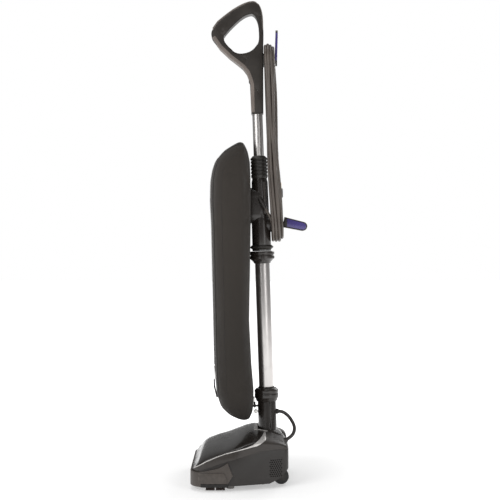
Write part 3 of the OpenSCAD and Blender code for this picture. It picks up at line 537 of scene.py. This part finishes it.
def crossed_screw(place, radius, way=(0, 0, -1), depth=0.0012):
    """Pan head with a cross recess, made round and sunk by cutting the cross out with two bars."""
    turn = Vector(way).to_track_quat("Z", "Y").to_euler()
    bpy.ops.mesh.primitive_cylinder_add(vertices=32, radius=radius, depth=radius * 0.55, location=place,
                                        rotation=turn)
    head = bpy.context.active_object
    soften(head, radius * 0.22, 3)
    slots = []
    for k in (0, 1):
        bpy.ops.mesh.primitive_cube_add(size=1, location=Vector(place) + Vector(way) * radius * 0.3, rotation=turn)
        cutter = bpy.context.active_object
        cutter.scale = (radius * (1.3 if k else 0.24), radius * (0.24 if k else 1.3), depth)
        bpy.ops.object.transform_apply(scale=True)
        slots.append(cutter)
    for cutter in slots:
        cut = head.modifiers.new("recess", "BOOLEAN")
        cut.object = cutter
        cut.operation = "DIFFERENCE"
    apply_all(head)
    for cutter in slots:
        bpy.data.objects.remove(cutter)
    only(head)
    bpy.ops.object.transform_apply(location=True, rotation=True, scale=True)
    return head


dress("base_screws", PLATED, radius=0.0002)
heads = []
for x, y in ((0.112, -0.02), (0.104, 0.03), (0.07, -0.042), (0.064, 0.02)):
    for side in (-1, 1):
        heads.append(crossed_screw((side * x, y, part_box("base_screws")[0][2] - 0.0004), 0.0034))
only(heads[0])
for head in heads:
    head.select_set(True)
bpy.ops.object.join()
settle(bpy.context.active_object, "base_screw_heads", PLATED, "base_screws")

# ---- Brush roll and its drive --------------------------------------------------------------------
# A moulded drum with two spiral rows of bristle tufts, turned by a rubber belt from the motor.
dress("brush_bearings", MID_GREY)
dress("brush_roll", MID_GREY)
BELT_RUBBER = plastic("belt_rubber", (0.012, 0.012, 0.012), 0.6, grain=0.5, size=1200.0)
dress("drive_belt", BELT_RUBBER, radius=0.0003)
dress("motor_pulley", PLATED, radius=0.0003)


def roll_tufts():
    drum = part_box("brush_roll")
    axis = Vector((0, (drum[0][1] + drum[1][1]) / 2, (drum[0][2] + drum[1][2]) / 2))
    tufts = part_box("brush_tufts")
    count = int((tufts[1][0] - tufts[0][0]) / 0.012) + 1
    chance = random.Random(9)
    made = []
    for row in (0, 180):
        for k in range(count):
            angle = math.radians(row + 15 * k)
            foot = axis + Vector((tufts[0][0] + 0.0026 + 0.012 * k,
                                  -0.0155 * math.sin(angle), 0.0155 * math.cos(angle)))
            for _ in range(9):
                splay = angle + math.radians(chance.uniform(-5, 5))
                shift = Vector((chance.uniform(-0.0018, 0.0018), 0, 0))
                out = Vector((0, -math.sin(splay), math.cos(splay)))
                turn = out.to_track_quat("Z", "Y").to_euler()
                made.append(brush_tuft(foot + shift + out * 0.0042, turn, 0.0074, 0.00045))
    return joined(made)


tufts = roll_tufts()
settle(tufts, "brush_tufts_finished", BRISTLE, "brush_tufts")
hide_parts("brush_tufts")

# ---- Motor and fan -------------------------------------------------------------------------------
# A bare steel can with a vented end, on two saddles. The fan turns in its own moulded housing.
dress("motor_can", SHEET_STEEL, radius=0.001, segments=3)
dress("motor_shaft", PLATED, radius=0.0003)
dress("impeller", MID_GREY)
dress("impeller_housing", MATT_BLACK, radius=0.0006)

# ---- Wheels --------------------------------------------------------------------------------------
# Soft black treads on moulded hubs, on plated steel axles through the wheel wells.
WHEEL_RUBBER = plastic("wheel_rubber", (0.012, 0.0115, 0.011), 0.5, grain=0.5, size=1200.0, dust=0.2)
dress("wheel_axles", PLATED, radius=0.0002)


def wheel_hub(node_name, name):
    """A disc on the face of the wheel, with a stepped middle."""
    low, high = (Vector(corner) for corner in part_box(node_name))
    middle = (low + high) / 2
    side = 1 if middle.x > 0 else -1
    radius = (high.z - low.z) / 2
    outer_x = high.x if side > 0 else low.x
    bpy.ops.mesh.primitive_cylinder_add(vertices=48, radius=radius * 0.62, depth=0.0016, end_fill_type="NGON",
                                        location=(outer_x - side * 0.0002, middle.y, middle.z),
                                        rotation=(0, math.pi / 2, 0))
    hub = bpy.context.active_object
    bpy.ops.object.transform_apply(location=True, rotation=True)
    for polygon in hub.data.polygons:
        polygon.select = polygon.normal.x * side > 0.9
    bpy.ops.object.mode_set(mode="EDIT")
    bpy.ops.mesh.inset(thickness=0.0016, depth=-0.0005)
    bpy.ops.mesh.inset(thickness=0.0032, depth=0.0004)
    bpy.ops.object.mode_set(mode="OBJECT")
    soften(hub, 0.0002)
    settle(hub, name, SATIN_BLACK, node_name)


for name in ("wheel_left", "wheel_right"):
    dress(name, WHEEL_RUBBER, radius=0.0004)
    wheel_hub(name, name + "_hub")

# ---- Neck and its collar -------------------------------------------------------------------------
# A black moulding with the drum that tilts between the posts, and a clamp collar for the tube. A
# raised seam and a shallow rear channel run up its side; cream nylon bushes carry its pins.
NECK_BLACK = plastic("neck_black", (0.017, 0.0135, 0.0115), 0.24, grain=0.08, wear=0.25, Coat_Weight=0.15)
CREAM_NYLON = plastic("cream_nylon", (0.6, 0.57, 0.48), 0.45, grain=0.1)
dress("pivot_bushes", CREAM_NYLON)
dress("neck", NECK_BLACK, radius=0.0012, segments=3)
dress("neck_collar", NECK_BLACK, radius=0.0008, segments=3)
LEAN = math.radians(1.88)
RECLINE = next(j for j in frame["record"]["behaviour"]["joints"] if j["name"] == "handle_recline")
PIVOT = Vector(RECLINE["pos_m"])


def on_handle(x, y, z):
    """A place given along the leaning handle, in metres from the recline pivot."""
    return PIVOT + Vector((x, y * math.cos(LEAN) - z * math.sin(LEAN),
                           y * math.sin(LEAN) + z * math.cos(LEAN)))


def handle_bar(place, size, radius):
    """A bar laid along the handle, given by its middle and its full size, with broken edges."""
    bpy.ops.mesh.primitive_cube_add(size=1, location=on_handle(*place), rotation=(LEAN, 0, 0))
    bar = bpy.context.active_object
    bar.scale = size
    bpy.ops.object.transform_apply(location=True, rotation=True, scale=True)
    soften(bar, radius, 3)
    return bar


for side, hand in ((1, "left"), (-1, "right")):
    rib = handle_bar((side * 0.0208, 0.0075, 0.078), (0.0032, 0.0026, 0.064), 0.0008)
    settle(rib, "neck_rib_" + hand, NECK_BLACK, "neck")

# ---- Tubes ---------------------------------------------------------------------------------------
# Chromed steel tubes, drawn and polished, lower and upper.
CHROME_TUBE = metal("chrome_tube", (0.58, 0.56, 0.545), 0.28, streak=0.1)
for name in ("lower_tube", "upper_tube"):
    dress(name, CHROME_TUBE, radius=0.0003)

# ---- Middle body ---------------------------------------------------------------------------------
# The black body that joins the tubes and docks the bag, with a threaded clamp below, a sealing
# fin, and a ribbed collar above. A lighter bar down each rear flank is a painted highlight.
dress("mid_body", NECK_BLACK, radius=0.001, segments=3)
dress("tube_clamp", NECK_BLACK, radius=0.0006, segments=3)
dress("seal_ring", MATT_BLACK, radius=0.0008, segments=3)
dress("upper_collar", MATT_BLACK, radius=0.0005, segments=3)
for side, hand in ((1, "left"), (-1, "right")):
    # A lighter bar down each rear flank: a painted highlight.
    highlight_bar = handle_bar((side * 0.0195, 0.0105, 0.585), (0.003, 0.006, 0.075), 0.0012)
    settle(highlight_bar, "body_painted_highlight_" + hand, DECK_SATIN, "mid_body")
    lug = handle_bar((side * 0.0275, 0.002, 0.4435), (0.004, 0.008, 0.016), 0.001)
    settle(lug, "clamp_lug_" + hand, NECK_BLACK, "tube_clamp")
dress("inlet_elbow", MATT_BLACK, radius=0.0004)
dress("bag_collar", MATT_BLACK, radius=0.001, segments=3)

# ---- Grip ----------------------------------------------------------------------------------------
# Two satin shells screwed together round the upper tube, with a soft over-moulded strip on top. Lighter
# bands along the top and down the front edge are painted highlight, and thin black bands beside them are painted
# shade in the grooves.
GRIP_BLACK = plastic("grip_black", (0.02, 0.0165, 0.0138), 0.3, grain=0.12, wear=0.3)
# This lighter material paints highlight on the grip's front and top edges.
GRIP_PAINTED_HIGHLIGHT = plastic("grip_painted_highlight", (0.12, 0.1, 0.088), 0.42, grain=0.2, wear=0.3)
for name in ("grip_left", "grip_right"):
    dress(name, GRIP_BLACK, radius=0.0022, segments=4, smooth=50)
SOFT_TOUCH = plastic("soft_touch", (0.16, 0.135, 0.12), 0.5, grain=0.35, size=2600.0, wear=0.2)
dress("soft_grip", SOFT_TOUCH, radius=0.0012, segments=3, smooth=50)
dress("grip_screws", PLATED, radius=0.0002)
dress("switch_rocker", MATT_BLACK, radius=0.0006)


def ribbon(route, half_width, half_depth, radius):
    """A band across the grip, extruded step by step along a route of (across, along) handle places."""
    points = [on_handle(0, y, z) for y, z in route]
    bpy.ops.mesh.primitive_plane_add(size=1, location=points[0])
    band = bpy.context.active_object
    band.scale = (2 * half_width, 2 * half_depth, 1)
    bpy.ops.object.transform_apply(location=True, scale=True)
    edit(band)
    heading = math.pi / 2
    for k, point in enumerate(points):
        behind, ahead = points[max(k - 1, 0)], points[min(k + 1, len(points) - 1)]
        if k:
            step = point - points[k - 1]
            bpy.ops.mesh.extrude_region_move(TRANSFORM_OT_translate={"value": tuple(step)})
        wanted = math.atan2(ahead.z - behind.z, ahead.y - behind.y)
        bpy.ops.transform.rotate(value=-(wanted - heading), orient_axis="X", center_override=tuple(point))
        heading = wanted
    bpy.ops.mesh.select_all(action="SELECT")
    bpy.ops.mesh.normals_make_consistent(inside=False)
    bpy.ops.object.mode_set(mode="OBJECT")
    soften(band, radius, 3, smooth=50)
    return band


def beside(route, offset):
    """The same route moved sideways in its own plane."""
    moved = []
    for k, (y, z) in enumerate(route):
        (y0, z0), (y1, z1) = route[max(k - 1, 0)], route[min(k + 1, len(route) - 1)]
        length = math.hypot(y1 - y0, z1 - z0)
        moved.append((y - offset * (z1 - z0) / length, z + offset * (y1 - y0) / length))
    return moved


front_route = [(-0.0965, 0.9655), (-0.0795, 0.940), (-0.0575, 0.918), (-0.0400, 0.9035), (-0.0280, 0.893),
               (-0.0178, 0.879), (-0.0125, 0.864), (-0.0093, 0.850), (-0.0095, 0.820), (-0.0100, 0.785)]
# A lighter band down the front edge is a painted highlight; the thin black band beside it is painted shade in the
# groove.
settle(ribbon(front_route, 0.0159, 0.0042, 0.0012), "front_painted_highlight", GRIP_PAINTED_HIGHLIGHT, "grip_left")
settle(ribbon(beside(front_route, 0.0052), 0.0154, 0.0011, 0.0004), "front_groove_painted_shade", GLOSS_BLACK, "grip_left")
top_route = [(-0.0975, 0.985), (-0.0860, 1.000), (-0.0740, 1.0095), (-0.0600, 1.0195), (-0.0480, 1.0275),
             (-0.0350, 1.0347), (-0.0220, 1.0405), (-0.0110, 1.0438), (-0.0020, 1.0445), (0.0060, 1.0420)]
# A lighter band along the top is a painted highlight; the thin black band beside it is painted shade.
settle(ribbon(top_route, 0.0130, 0.0017, 0.0009), "top_painted_highlight", GRIP_PAINTED_HIGHLIGHT, "soft_grip")
settle(ribbon(beside(top_route, -0.0034), 0.0151, 0.0008, 0.0003), "top_groove_painted_shade", GLOSS_BLACK, "soft_grip")

# ---- Cord hooks ----------------------------------------------------------------------------------
# Round black posts, and two violet nylon hooks on them that swivel to let the cord drop off. Each
# hook has a black over-moulded tip or rim.
VIOLET = plastic("violet_nylon", (0.045, 0.033, 0.15), 0.22, grain=0.04, wear=0.3, mottle=1.2,
                 Coat_Weight=0.3)
for name in ("upper_hook_post", "lower_hook_post"):
    dress(name, MATT_BLACK, radius=0.0008, segments=3)
for name in ("upper_hook", "lower_hook"):
    hook = dress(name, VIOLET, radius=0.0014, segments=3)
    low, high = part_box(name)
    root = Vector((0, low[1] + 0.029, 0)) if name == "lower_hook" else Vector((0, 0, low[2] + 0.012))
    edit(hook)
    bpy.ops.mesh.bisect(plane_co=root, plane_no=(0, 1, 0) if name == "lower_hook" else (0, 0, 1))
    bpy.ops.object.mode_set(mode="OBJECT")
    hook.data.materials.append(MATT_BLACK)
    for polygon in hook.data.polygons:
        behind = polygon.center - root
        polygon.material_index = 1 if (behind.y if name == "lower_hook" else behind.z) < 0 else 0
for name in ("upper_hook_tip", "lower_hook_rim"):
    dress(name, MATT_BLACK, radius=0.0012, segments=3)

# ---- Bag -----------------------------------------------------------------------------------------
# A padded cloth bag, closed by a zipper down its front. Its panels are blown out by the air and
# held at the dock; piping and a row of stitches follow its outline on each side.


def make_woven_cloth():
    """Crossed threads over a colour that varies at random and grows lighter towards the top, in the piece's own
    space.
    """
    group, given, out = new_group("woven_cloth", [
        ("Colour", "NodeSocketColor", (0.04, 0.035, 0.03, 1)),
        ("Faded colour", "NodeSocketColor", (0.06, 0.05, 0.042, 1)),
        ("Thread size", "NodeSocketFloat", 900.0),
        ("Weave depth", "NodeSocketFloat", 0.5),
        ("Roughness", "NodeSocketFloat", 0.8),
    ], [("Colour", "NodeSocketColor"), ("Roughness", "NodeSocketFloat"), ("Normal", "NodeSocketVector")])
    place = node(group, "ShaderNodeTexCoord").outputs["Object"]
    parts = node(group, "ShaderNodeSeparateXYZ", [("Vector", place)]).outputs
    across = mathed(group, "ADD", parts["X"], parts["Y"])
    pitch = mathed(group, "MULTIPLY", given["Thread size"], 6.28)
    warp = mathed(group, "SINE", mathed(group, "MULTIPLY", across, pitch))
    weft = mathed(group, "SINE", mathed(group, "MULTIPLY", parts["Z"], pitch))
    weave = mathed(group, "MULTIPLY", warp, weft)
    crease = node(group, "ShaderNodeMapping", [("Vector", place), ("Scale", (1.0, 1.0, 0.45))])
    fold = node(group, "ShaderNodeTexNoise", [("Vector", crease.outputs[0]), ("Scale", 16.0), ("Detail", 4.0)])
    fade = node(group, "ShaderNodeTexNoise", [("Vector", place), ("Scale", 5.0), ("Detail", 3.0)])
    # The colour grows lighter towards the top, as well as at random.
    higher = spread(group, parts["Z"], 0.1, 0.8)
    amount = mathed(group, "MULTIPLY", spread(group, fade.outputs["Fac"], 0.3, 0.7), 0.5)
    amount = mathed(group, "ADD", amount, mathed(group, "MULTIPLY", higher, 0.5), clamp=True)
    colour = mixed(group, amount, given["Colour"], given["Faded colour"])
    thread = mathed(group, "ADD", mathed(group, "MULTIPLY", weave, 0.12), 0.08, clamp=True)
    colour = mixed(group, thread, colour, (0.06, 0.052, 0.045, 1))
    height = mathed(group, "ADD", mathed(group, "MULTIPLY", weave, 0.06), fold.outputs["Fac"])
    bump = node(group, "ShaderNodeBump", [("Height", height), ("Strength", given["Weave depth"]),
                                          ("Distance", 0.002)])
    group.links.new(colour, out["Colour"])
    group.links.new(given["Roughness"], out["Roughness"])
    group.links.new(bump.outputs["Normal"], out["Normal"])
    return group


WOVEN_CLOTH = make_woven_cloth()
BAG_CLOTH = finish_material("bag_cloth", WOVEN_CLOTH, {
    "Colour": (0.0155, 0.0128, 0.0105, 1), "Faded colour": (0.03, 0.0245, 0.02, 1), "Roughness": 0.72},
    Sheen_Weight=0.08, Sheen_Roughness=0.5, Specular_IOR_Level=0.25)
BAG_TAPE = finish_material("bag_tape", WOVEN_CLOTH, {
    "Colour": (0.007, 0.006, 0.005, 1), "Faded colour": (0.01, 0.008, 0.007, 1), "Thread size": 600.0,
    "Roughness": 0.65})
BAG_LOW, BAG_HIGH = (Vector(corner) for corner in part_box("bag_shell"))


def surface_tree(piece):
    mesh = piece.data
    return BVHTree.FromPolygons([v.co for v in mesh.vertices], [p.vertices for p in mesh.polygons])


def outer_skin(node_name):
    """The outside of a hollow node, closed: faces that look at another face are the lining."""
    piece = copied(node_name)
    tree = surface_tree(piece)
    edit(piece, "DESELECT")
    bpy.ops.object.mode_set(mode="OBJECT")
    for polygon in piece.data.polygons:
        start = polygon.center + polygon.normal * 0.0003
        polygon.select = tree.ray_cast(start, polygon.normal, 0.5)[0] is not None
    bpy.ops.object.mode_set(mode="EDIT")
    bpy.ops.mesh.delete(type="FACE")
    bpy.ops.mesh.select_all(action="SELECT")
    bpy.ops.mesh.fill_holes(sides=0)
    bpy.ops.mesh.normals_make_consistent(inside=False)
    bpy.ops.object.mode_set(mode="OBJECT")
    return piece


def blown_out(piece, cap):
    """Swells the cloth by air pressure for twenty frames and keeps each point within a cap of its start."""
    start = [vertex.co.copy() for vertex in piece.data.vertices]
    held = piece.vertex_groups.new(name="held")
    dock = Vector(((0, BAG_HIGH.y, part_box("inlet_elbow")[0][2] + 0.017)))
    held.add([v.index for v in piece.data.vertices if (v.co - dock).length < 0.034], 1, "REPLACE")
    cloth = piece.modifiers.new("cloth", "CLOTH")
    cloth.settings.vertex_group_mass = "held"
    cloth.settings.quality = 6
    cloth.settings.mass = 0.25
    cloth.settings.shrink_min = -0.02
    cloth.settings.use_pressure = True
    cloth.settings.uniform_pressure_force = 4
    cloth.settings.effector_weights.gravity = 0
    cloth.collision_settings.use_collision = False
    scene = bpy.context.scene
    scene.frame_start, scene.frame_end = 1, 20
    for frame_number in range(1, 21):
        scene.frame_set(frame_number)
    apply_all(piece)
    scene.frame_set(1)
    for vertex, was in zip(piece.data.vertices, start):
        move = vertex.co - was
        if move.length > cap:
            vertex.co = was + move * (cap / move.length)


def make_bag():
    bag = outer_skin("bag_shell")
    edit(bag)
    bpy.ops.transform.shrink_fatten(value=-0.0012)
    bpy.ops.object.mode_set(mode="OBJECT")
    grid = bag.modifiers.new("grid", "REMESH")
    grid.mode = "VOXEL"
    grid.voxel_size = 0.0055
    grid.use_smooth_shade = True
    apply_all(bag)
    even = bag.modifiers.new("even", "SMOOTH")
    even.iterations = 3
    apply_all(bag)
    blown_out(bag, 0.004)
    fine = bag.modifiers.new("fine", "SUBSURF")
    fine.levels = fine.render_levels = 1
    apply_all(bag)
    only(bag)
    bpy.ops.object.shade_smooth()
    settle(bag, "bag_cloth_finished", BAG_CLOTH, "bag_shell")
    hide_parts("bag_shell")
    return bag


def side_outline(tree, inset):
    """Places on the bag's outline from its side, drawn in, from the foot round the front to the top."""
    low, high = BAG_LOW, BAG_HIGH
    casts = [((0, high.y - 0.02 - 0.005 * k, low.z - 0.05), (0, 0, 1)) for k in range(7)]
    casts += [((0, low.y - 0.05, low.z + 0.045 + (high.z - low.z - 0.09) * k / 29), (0, 1, 0))
              for k in range(30)]
    casts += [((0, low.y + 0.03 + 0.012 * k, high.z + 0.05), (0, 0, -1)) for k in range(4)]
    places = []
    for start, way in casts:
        hit = tree.ray_cast(Vector(start), Vector(way))[0]
        if hit:
            places.append(Vector((hit.y, hit.z)))
    drawn = []
    for k, place in enumerate(places):
        way = places[min(k + 1, len(places) - 1)] - places[max(k - 1, 0)]
        inward = Vector((way.y, -way.x)).normalized()
        drawn.append(place + inward * inset)
    return drawn


def seam_line(tree, side, inset, diameter, name, material, proud):
    points = []
    for y, z in side_outline(tree, inset):
        hit, normal, _, _ = tree.ray_cast(Vector((side * 0.2, y, z)), Vector((-side, 0, 0)))
        if hit:
            points.append(hit + normal * proud)
    line = run_cord(smoothed(points), diameter, name)
    settle(line, name, material, "bag_shell")


def smoothed(points):
    """Corner cutting twice, which turns measured places into an even curve."""
    for _ in range(2):
        cut = [points[0]]
        for a, b in zip(points, points[1:]):
            cut += [a.lerp(b, 0.25), a.lerp(b, 0.75)]
        points = cut + [points[-1]]
    return points


def run_cord(points, diameter, name):
    shape = bpy.data.curves.new(name, "CURVE")
    shape.dimensions = "3D"
    shape.bevel_depth = diameter / 2
    shape.bevel_resolution = 3
    shape.use_fill_caps = True
    spline = shape.splines.new("POLY")
    spline.points.add(len(points) - 1)
    for point, place in zip(spline.points, points):
        point.co = (*place, 1)
    cord = bpy.data.objects.new(name, shape)
    bpy.context.scene.collection.objects.link(cord)
    return cord


bag = make_bag()
bag_tree = surface_tree(bag)
for side, hand in ((1, "left"), (-1, "right")):
    seam_line(bag_tree, side, 0.007, 0.0026, "bag_piping_" + hand, BAG_TAPE, 0.0003)
    seam_line(bag_tree, side, 0.026, 0.0009, "bag_stitching_" + hand, BAG_TAPE, 0.0001)
dress("paper_bag", plastic("kraft_paper", (0.45, 0.33, 0.19), 0.85, grain=0.6, size=700.0), radius=0)

# ---- Zipper --------------------------------------------------------------------------------------
# A tape down the middle of the bag's front with moulded teeth, a plated slider, and a pull made of
# a bent wire with a black tab.


def zipper_tape():
    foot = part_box("zipper_slider")[0][2] - 0.004
    tape = bag.copy()
    tape.data = bag.data.copy()
    for key in list(tape.keys()):
        del tape[key]
    tape.parent = None
    bpy.context.scene.collection.objects.link(tape)
    cuts = [((0.011, 0, 0), (1, 0, 0)), ((-0.011, 0, 0), (-1, 0, 0)), ((0, 0, foot), (0, 0, -1)),
            ((0, 0, BAG_HIGH.z - 0.03), (0, 0, 1))]
    surface_patch(tape, "zipper_tape", cuts, (0, -1, 0.3), 0.0007, BAG_TAPE, "bag_shell", edge=0)


def zipper_teeth():
    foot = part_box("zipper_slider")[1][2]
    teeth = []
    z = foot
    while z < BAG_HIGH.z - 0.036:
        hit = bag_tree.ray_cast(Vector((0, BAG_LOW.y - 0.05, z)), Vector((0, 1, 0)))[0]
        side = 1 if len(teeth) % 2 else -1
        bpy.ops.mesh.primitive_cube_add(size=1, location=(side * 0.0008, hit.y - 0.0014, z))
        teeth.append(bpy.context.active_object)
        teeth[-1].scale = (0.0042, 0.0022, 0.0013)
        z += 0.0021
    settle(joined(teeth), "zipper_teeth", SATIN_BLACK, "bag_shell")


zipper_tape()
zipper_teeth()
dress("zipper_slider", PLATED, radius=0.0003)
pull = dress("zipper_pull", PLATED, radius=0.0002)
pull.data.materials.append(MATT_BLACK)
tab_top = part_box("zipper_pull")[1][2] - 0.0305
for polygon in pull.data.polygons:
    polygon.material_index = 1 if polygon.center.z < tab_top else 0

# ---- Stud, clip and hook -------------------------------------------------------------------------
# A plated stud on the neck and a small clip on the back of the bag, with the black hook that holds
# the foot of the bag to the neck.
for name in ("neck_ring", "tether_clip"):
    dress(name, PLATED, radius=0.0008, segments=3)
dress("tether_hook", MATT_BLACK, radius=0.0008, segments=3)

# ---- Motor lead ----------------------------------------------------------------------------------
# The cable from the handle to the motor. It leaves a gland on the neck and loops behind the head.
LEAD_JACKET = plastic("lead_jacket", (0.02, 0.017, 0.015), 0.34, grain=0.15, wear=0.1)
for name in ("head_gland", "neck_gland"):
    dress(name, MATT_BLACK, radius=0.0005)
LEAD_ROUTE = [Vector(place) for place in (
    (0, 0.067, 0.156), (0.001, 0.073, 0.156), (0.005, 0.082, 0.153), (0.014, 0.092, 0.145),
    (0.026, 0.100, 0.134), (0.038, 0.1035, 0.124), (0.046, 0.101, 0.113), (0.0505, 0.0935, 0.105),
    (0.052, 0.085, 0.100))]


def motor_lead():
    points = smoothed(LEAD_ROUTE)
    lead = run_cord(points, 0.008, "motor_lead_cable")
    only(lead)
    bpy.ops.object.convert(target="MESH")
    lead.data.materials.append(LEAD_JACKET)
    bpy.ops.object.shade_smooth()
    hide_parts("motor_lead")
    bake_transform(lead)


motor_lead()

# ---- Power cord ----------------------------------------------------------------------------------
# One 7 mm rubber-jacketed cord. It leaves a tapered relief on the middle body and is wound in
# three layers of turns on the two hooks; the plug hangs from the last turn.
CORD_JACKET = plastic("cord_jacket", (0.07, 0.058, 0.049), 0.36, grain=0.15, size=1500.0, wear=0.1)
CORD_D = 0.007
LOW, HIGH = 0.523, 0.905
LAYERS = ((0.0232, (0.0275, 0.0345, 0.0415, 0.0485)), (0.0300, (0.0485, 0.0415, 0.0345, 0.0275)),
          (0.0370, (0.0275, 0.0345, 0.0415)))


def head_place(slot):
    """The post's head is narrower than its foot, so the turns crowd and ride up a little there."""
    step = round((slot - 0.0275) / 0.007)
    return 0.0235 + 0.0058 * step, 0.0025 * (step % 2)


def arc_points(radius, y0, y1, z, start, count):
    points = []
    for k in range(count + 1):
        share = k / count
        angle = math.radians(start - 180 * share)
        points.append((radius * math.cos(angle), y0 + (y1 - y0) * share, z + radius * math.sin(angle)))
    return points


def wound_route():
    chance = random.Random(21)
    route = [(0.026, 0.012, 0.558), (0.0288, 0.0162, 0.5497), (0.0296, 0.0205, 0.541),
             (0.0275, 0.0245, 0.532)]
    turns = [(radius, slot) for radius, slots in LAYERS for slot in slots]
    for k, (radius, slot) in enumerate(turns):
        next_radius, next_slot = turns[k + 1] if k < len(turns) - 1 else (radius, slot)
        top_y, ride = head_place(slot)
        foot_radius = radius + chance.uniform(-0.0004, 0.0008)
        route += arc_points(foot_radius, slot, slot, LOW - chance.uniform(0, 0.003), 0, 8)
        far = chance.uniform(-0.0015, 0.0015)
        for share in (0.25, 0.5, 0.75):
            route.append((-radius - 0.0006, slot + (top_y - slot) * share + far * math.sin(math.pi * share),
                          LOW + (HIGH - LOW) * share))
        route += arc_points(radius + ride, top_y, top_y, HIGH, 180, 8)
        near = chance.uniform(-0.003, 0.003)
        swell = chance.uniform(-0.0002, 0.0016)
        for share in (0.2, 0.4, 0.6, 0.8):
            bend = math.sin(math.pi * share)
            waver = near * math.sin(2 * math.pi * share)
            y = top_y + (next_slot - top_y) * share + waver - 0.003 * bend * bend
            x = radius + (next_radius - radius) * max(share - 0.3, 0) / 0.7 + swell * bend
            route.append((x, y, HIGH + (LOW - HIGH) * share))
    route += arc_points(radius, slot, 0.043, LOW - 0.002, 0, 8)
    route += [(-0.0375, 0.043, 0.535), (-0.0388, 0.043, 0.545), (-0.0400, 0.043, 0.553)]
    return [on_handle(*point) for point in route]


def power_cord():
    points = smoothed(wound_route())
    cord = run_cord(points, CORD_D, "power_cord")
    settle(cord, "power_cord", CORD_JACKET, "cord_hank")
    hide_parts("cord_hank")
    plug = dress("plug", LEAD_JACKET, radius=0.0012)
    blades = dress("plug_blades", metal("brass", (0.6, 0.42, 0.17), 0.25), radius=0.0002)
    relief = dress("strain_relief", LEAD_JACKET, radius=0.0004)


power_cord()
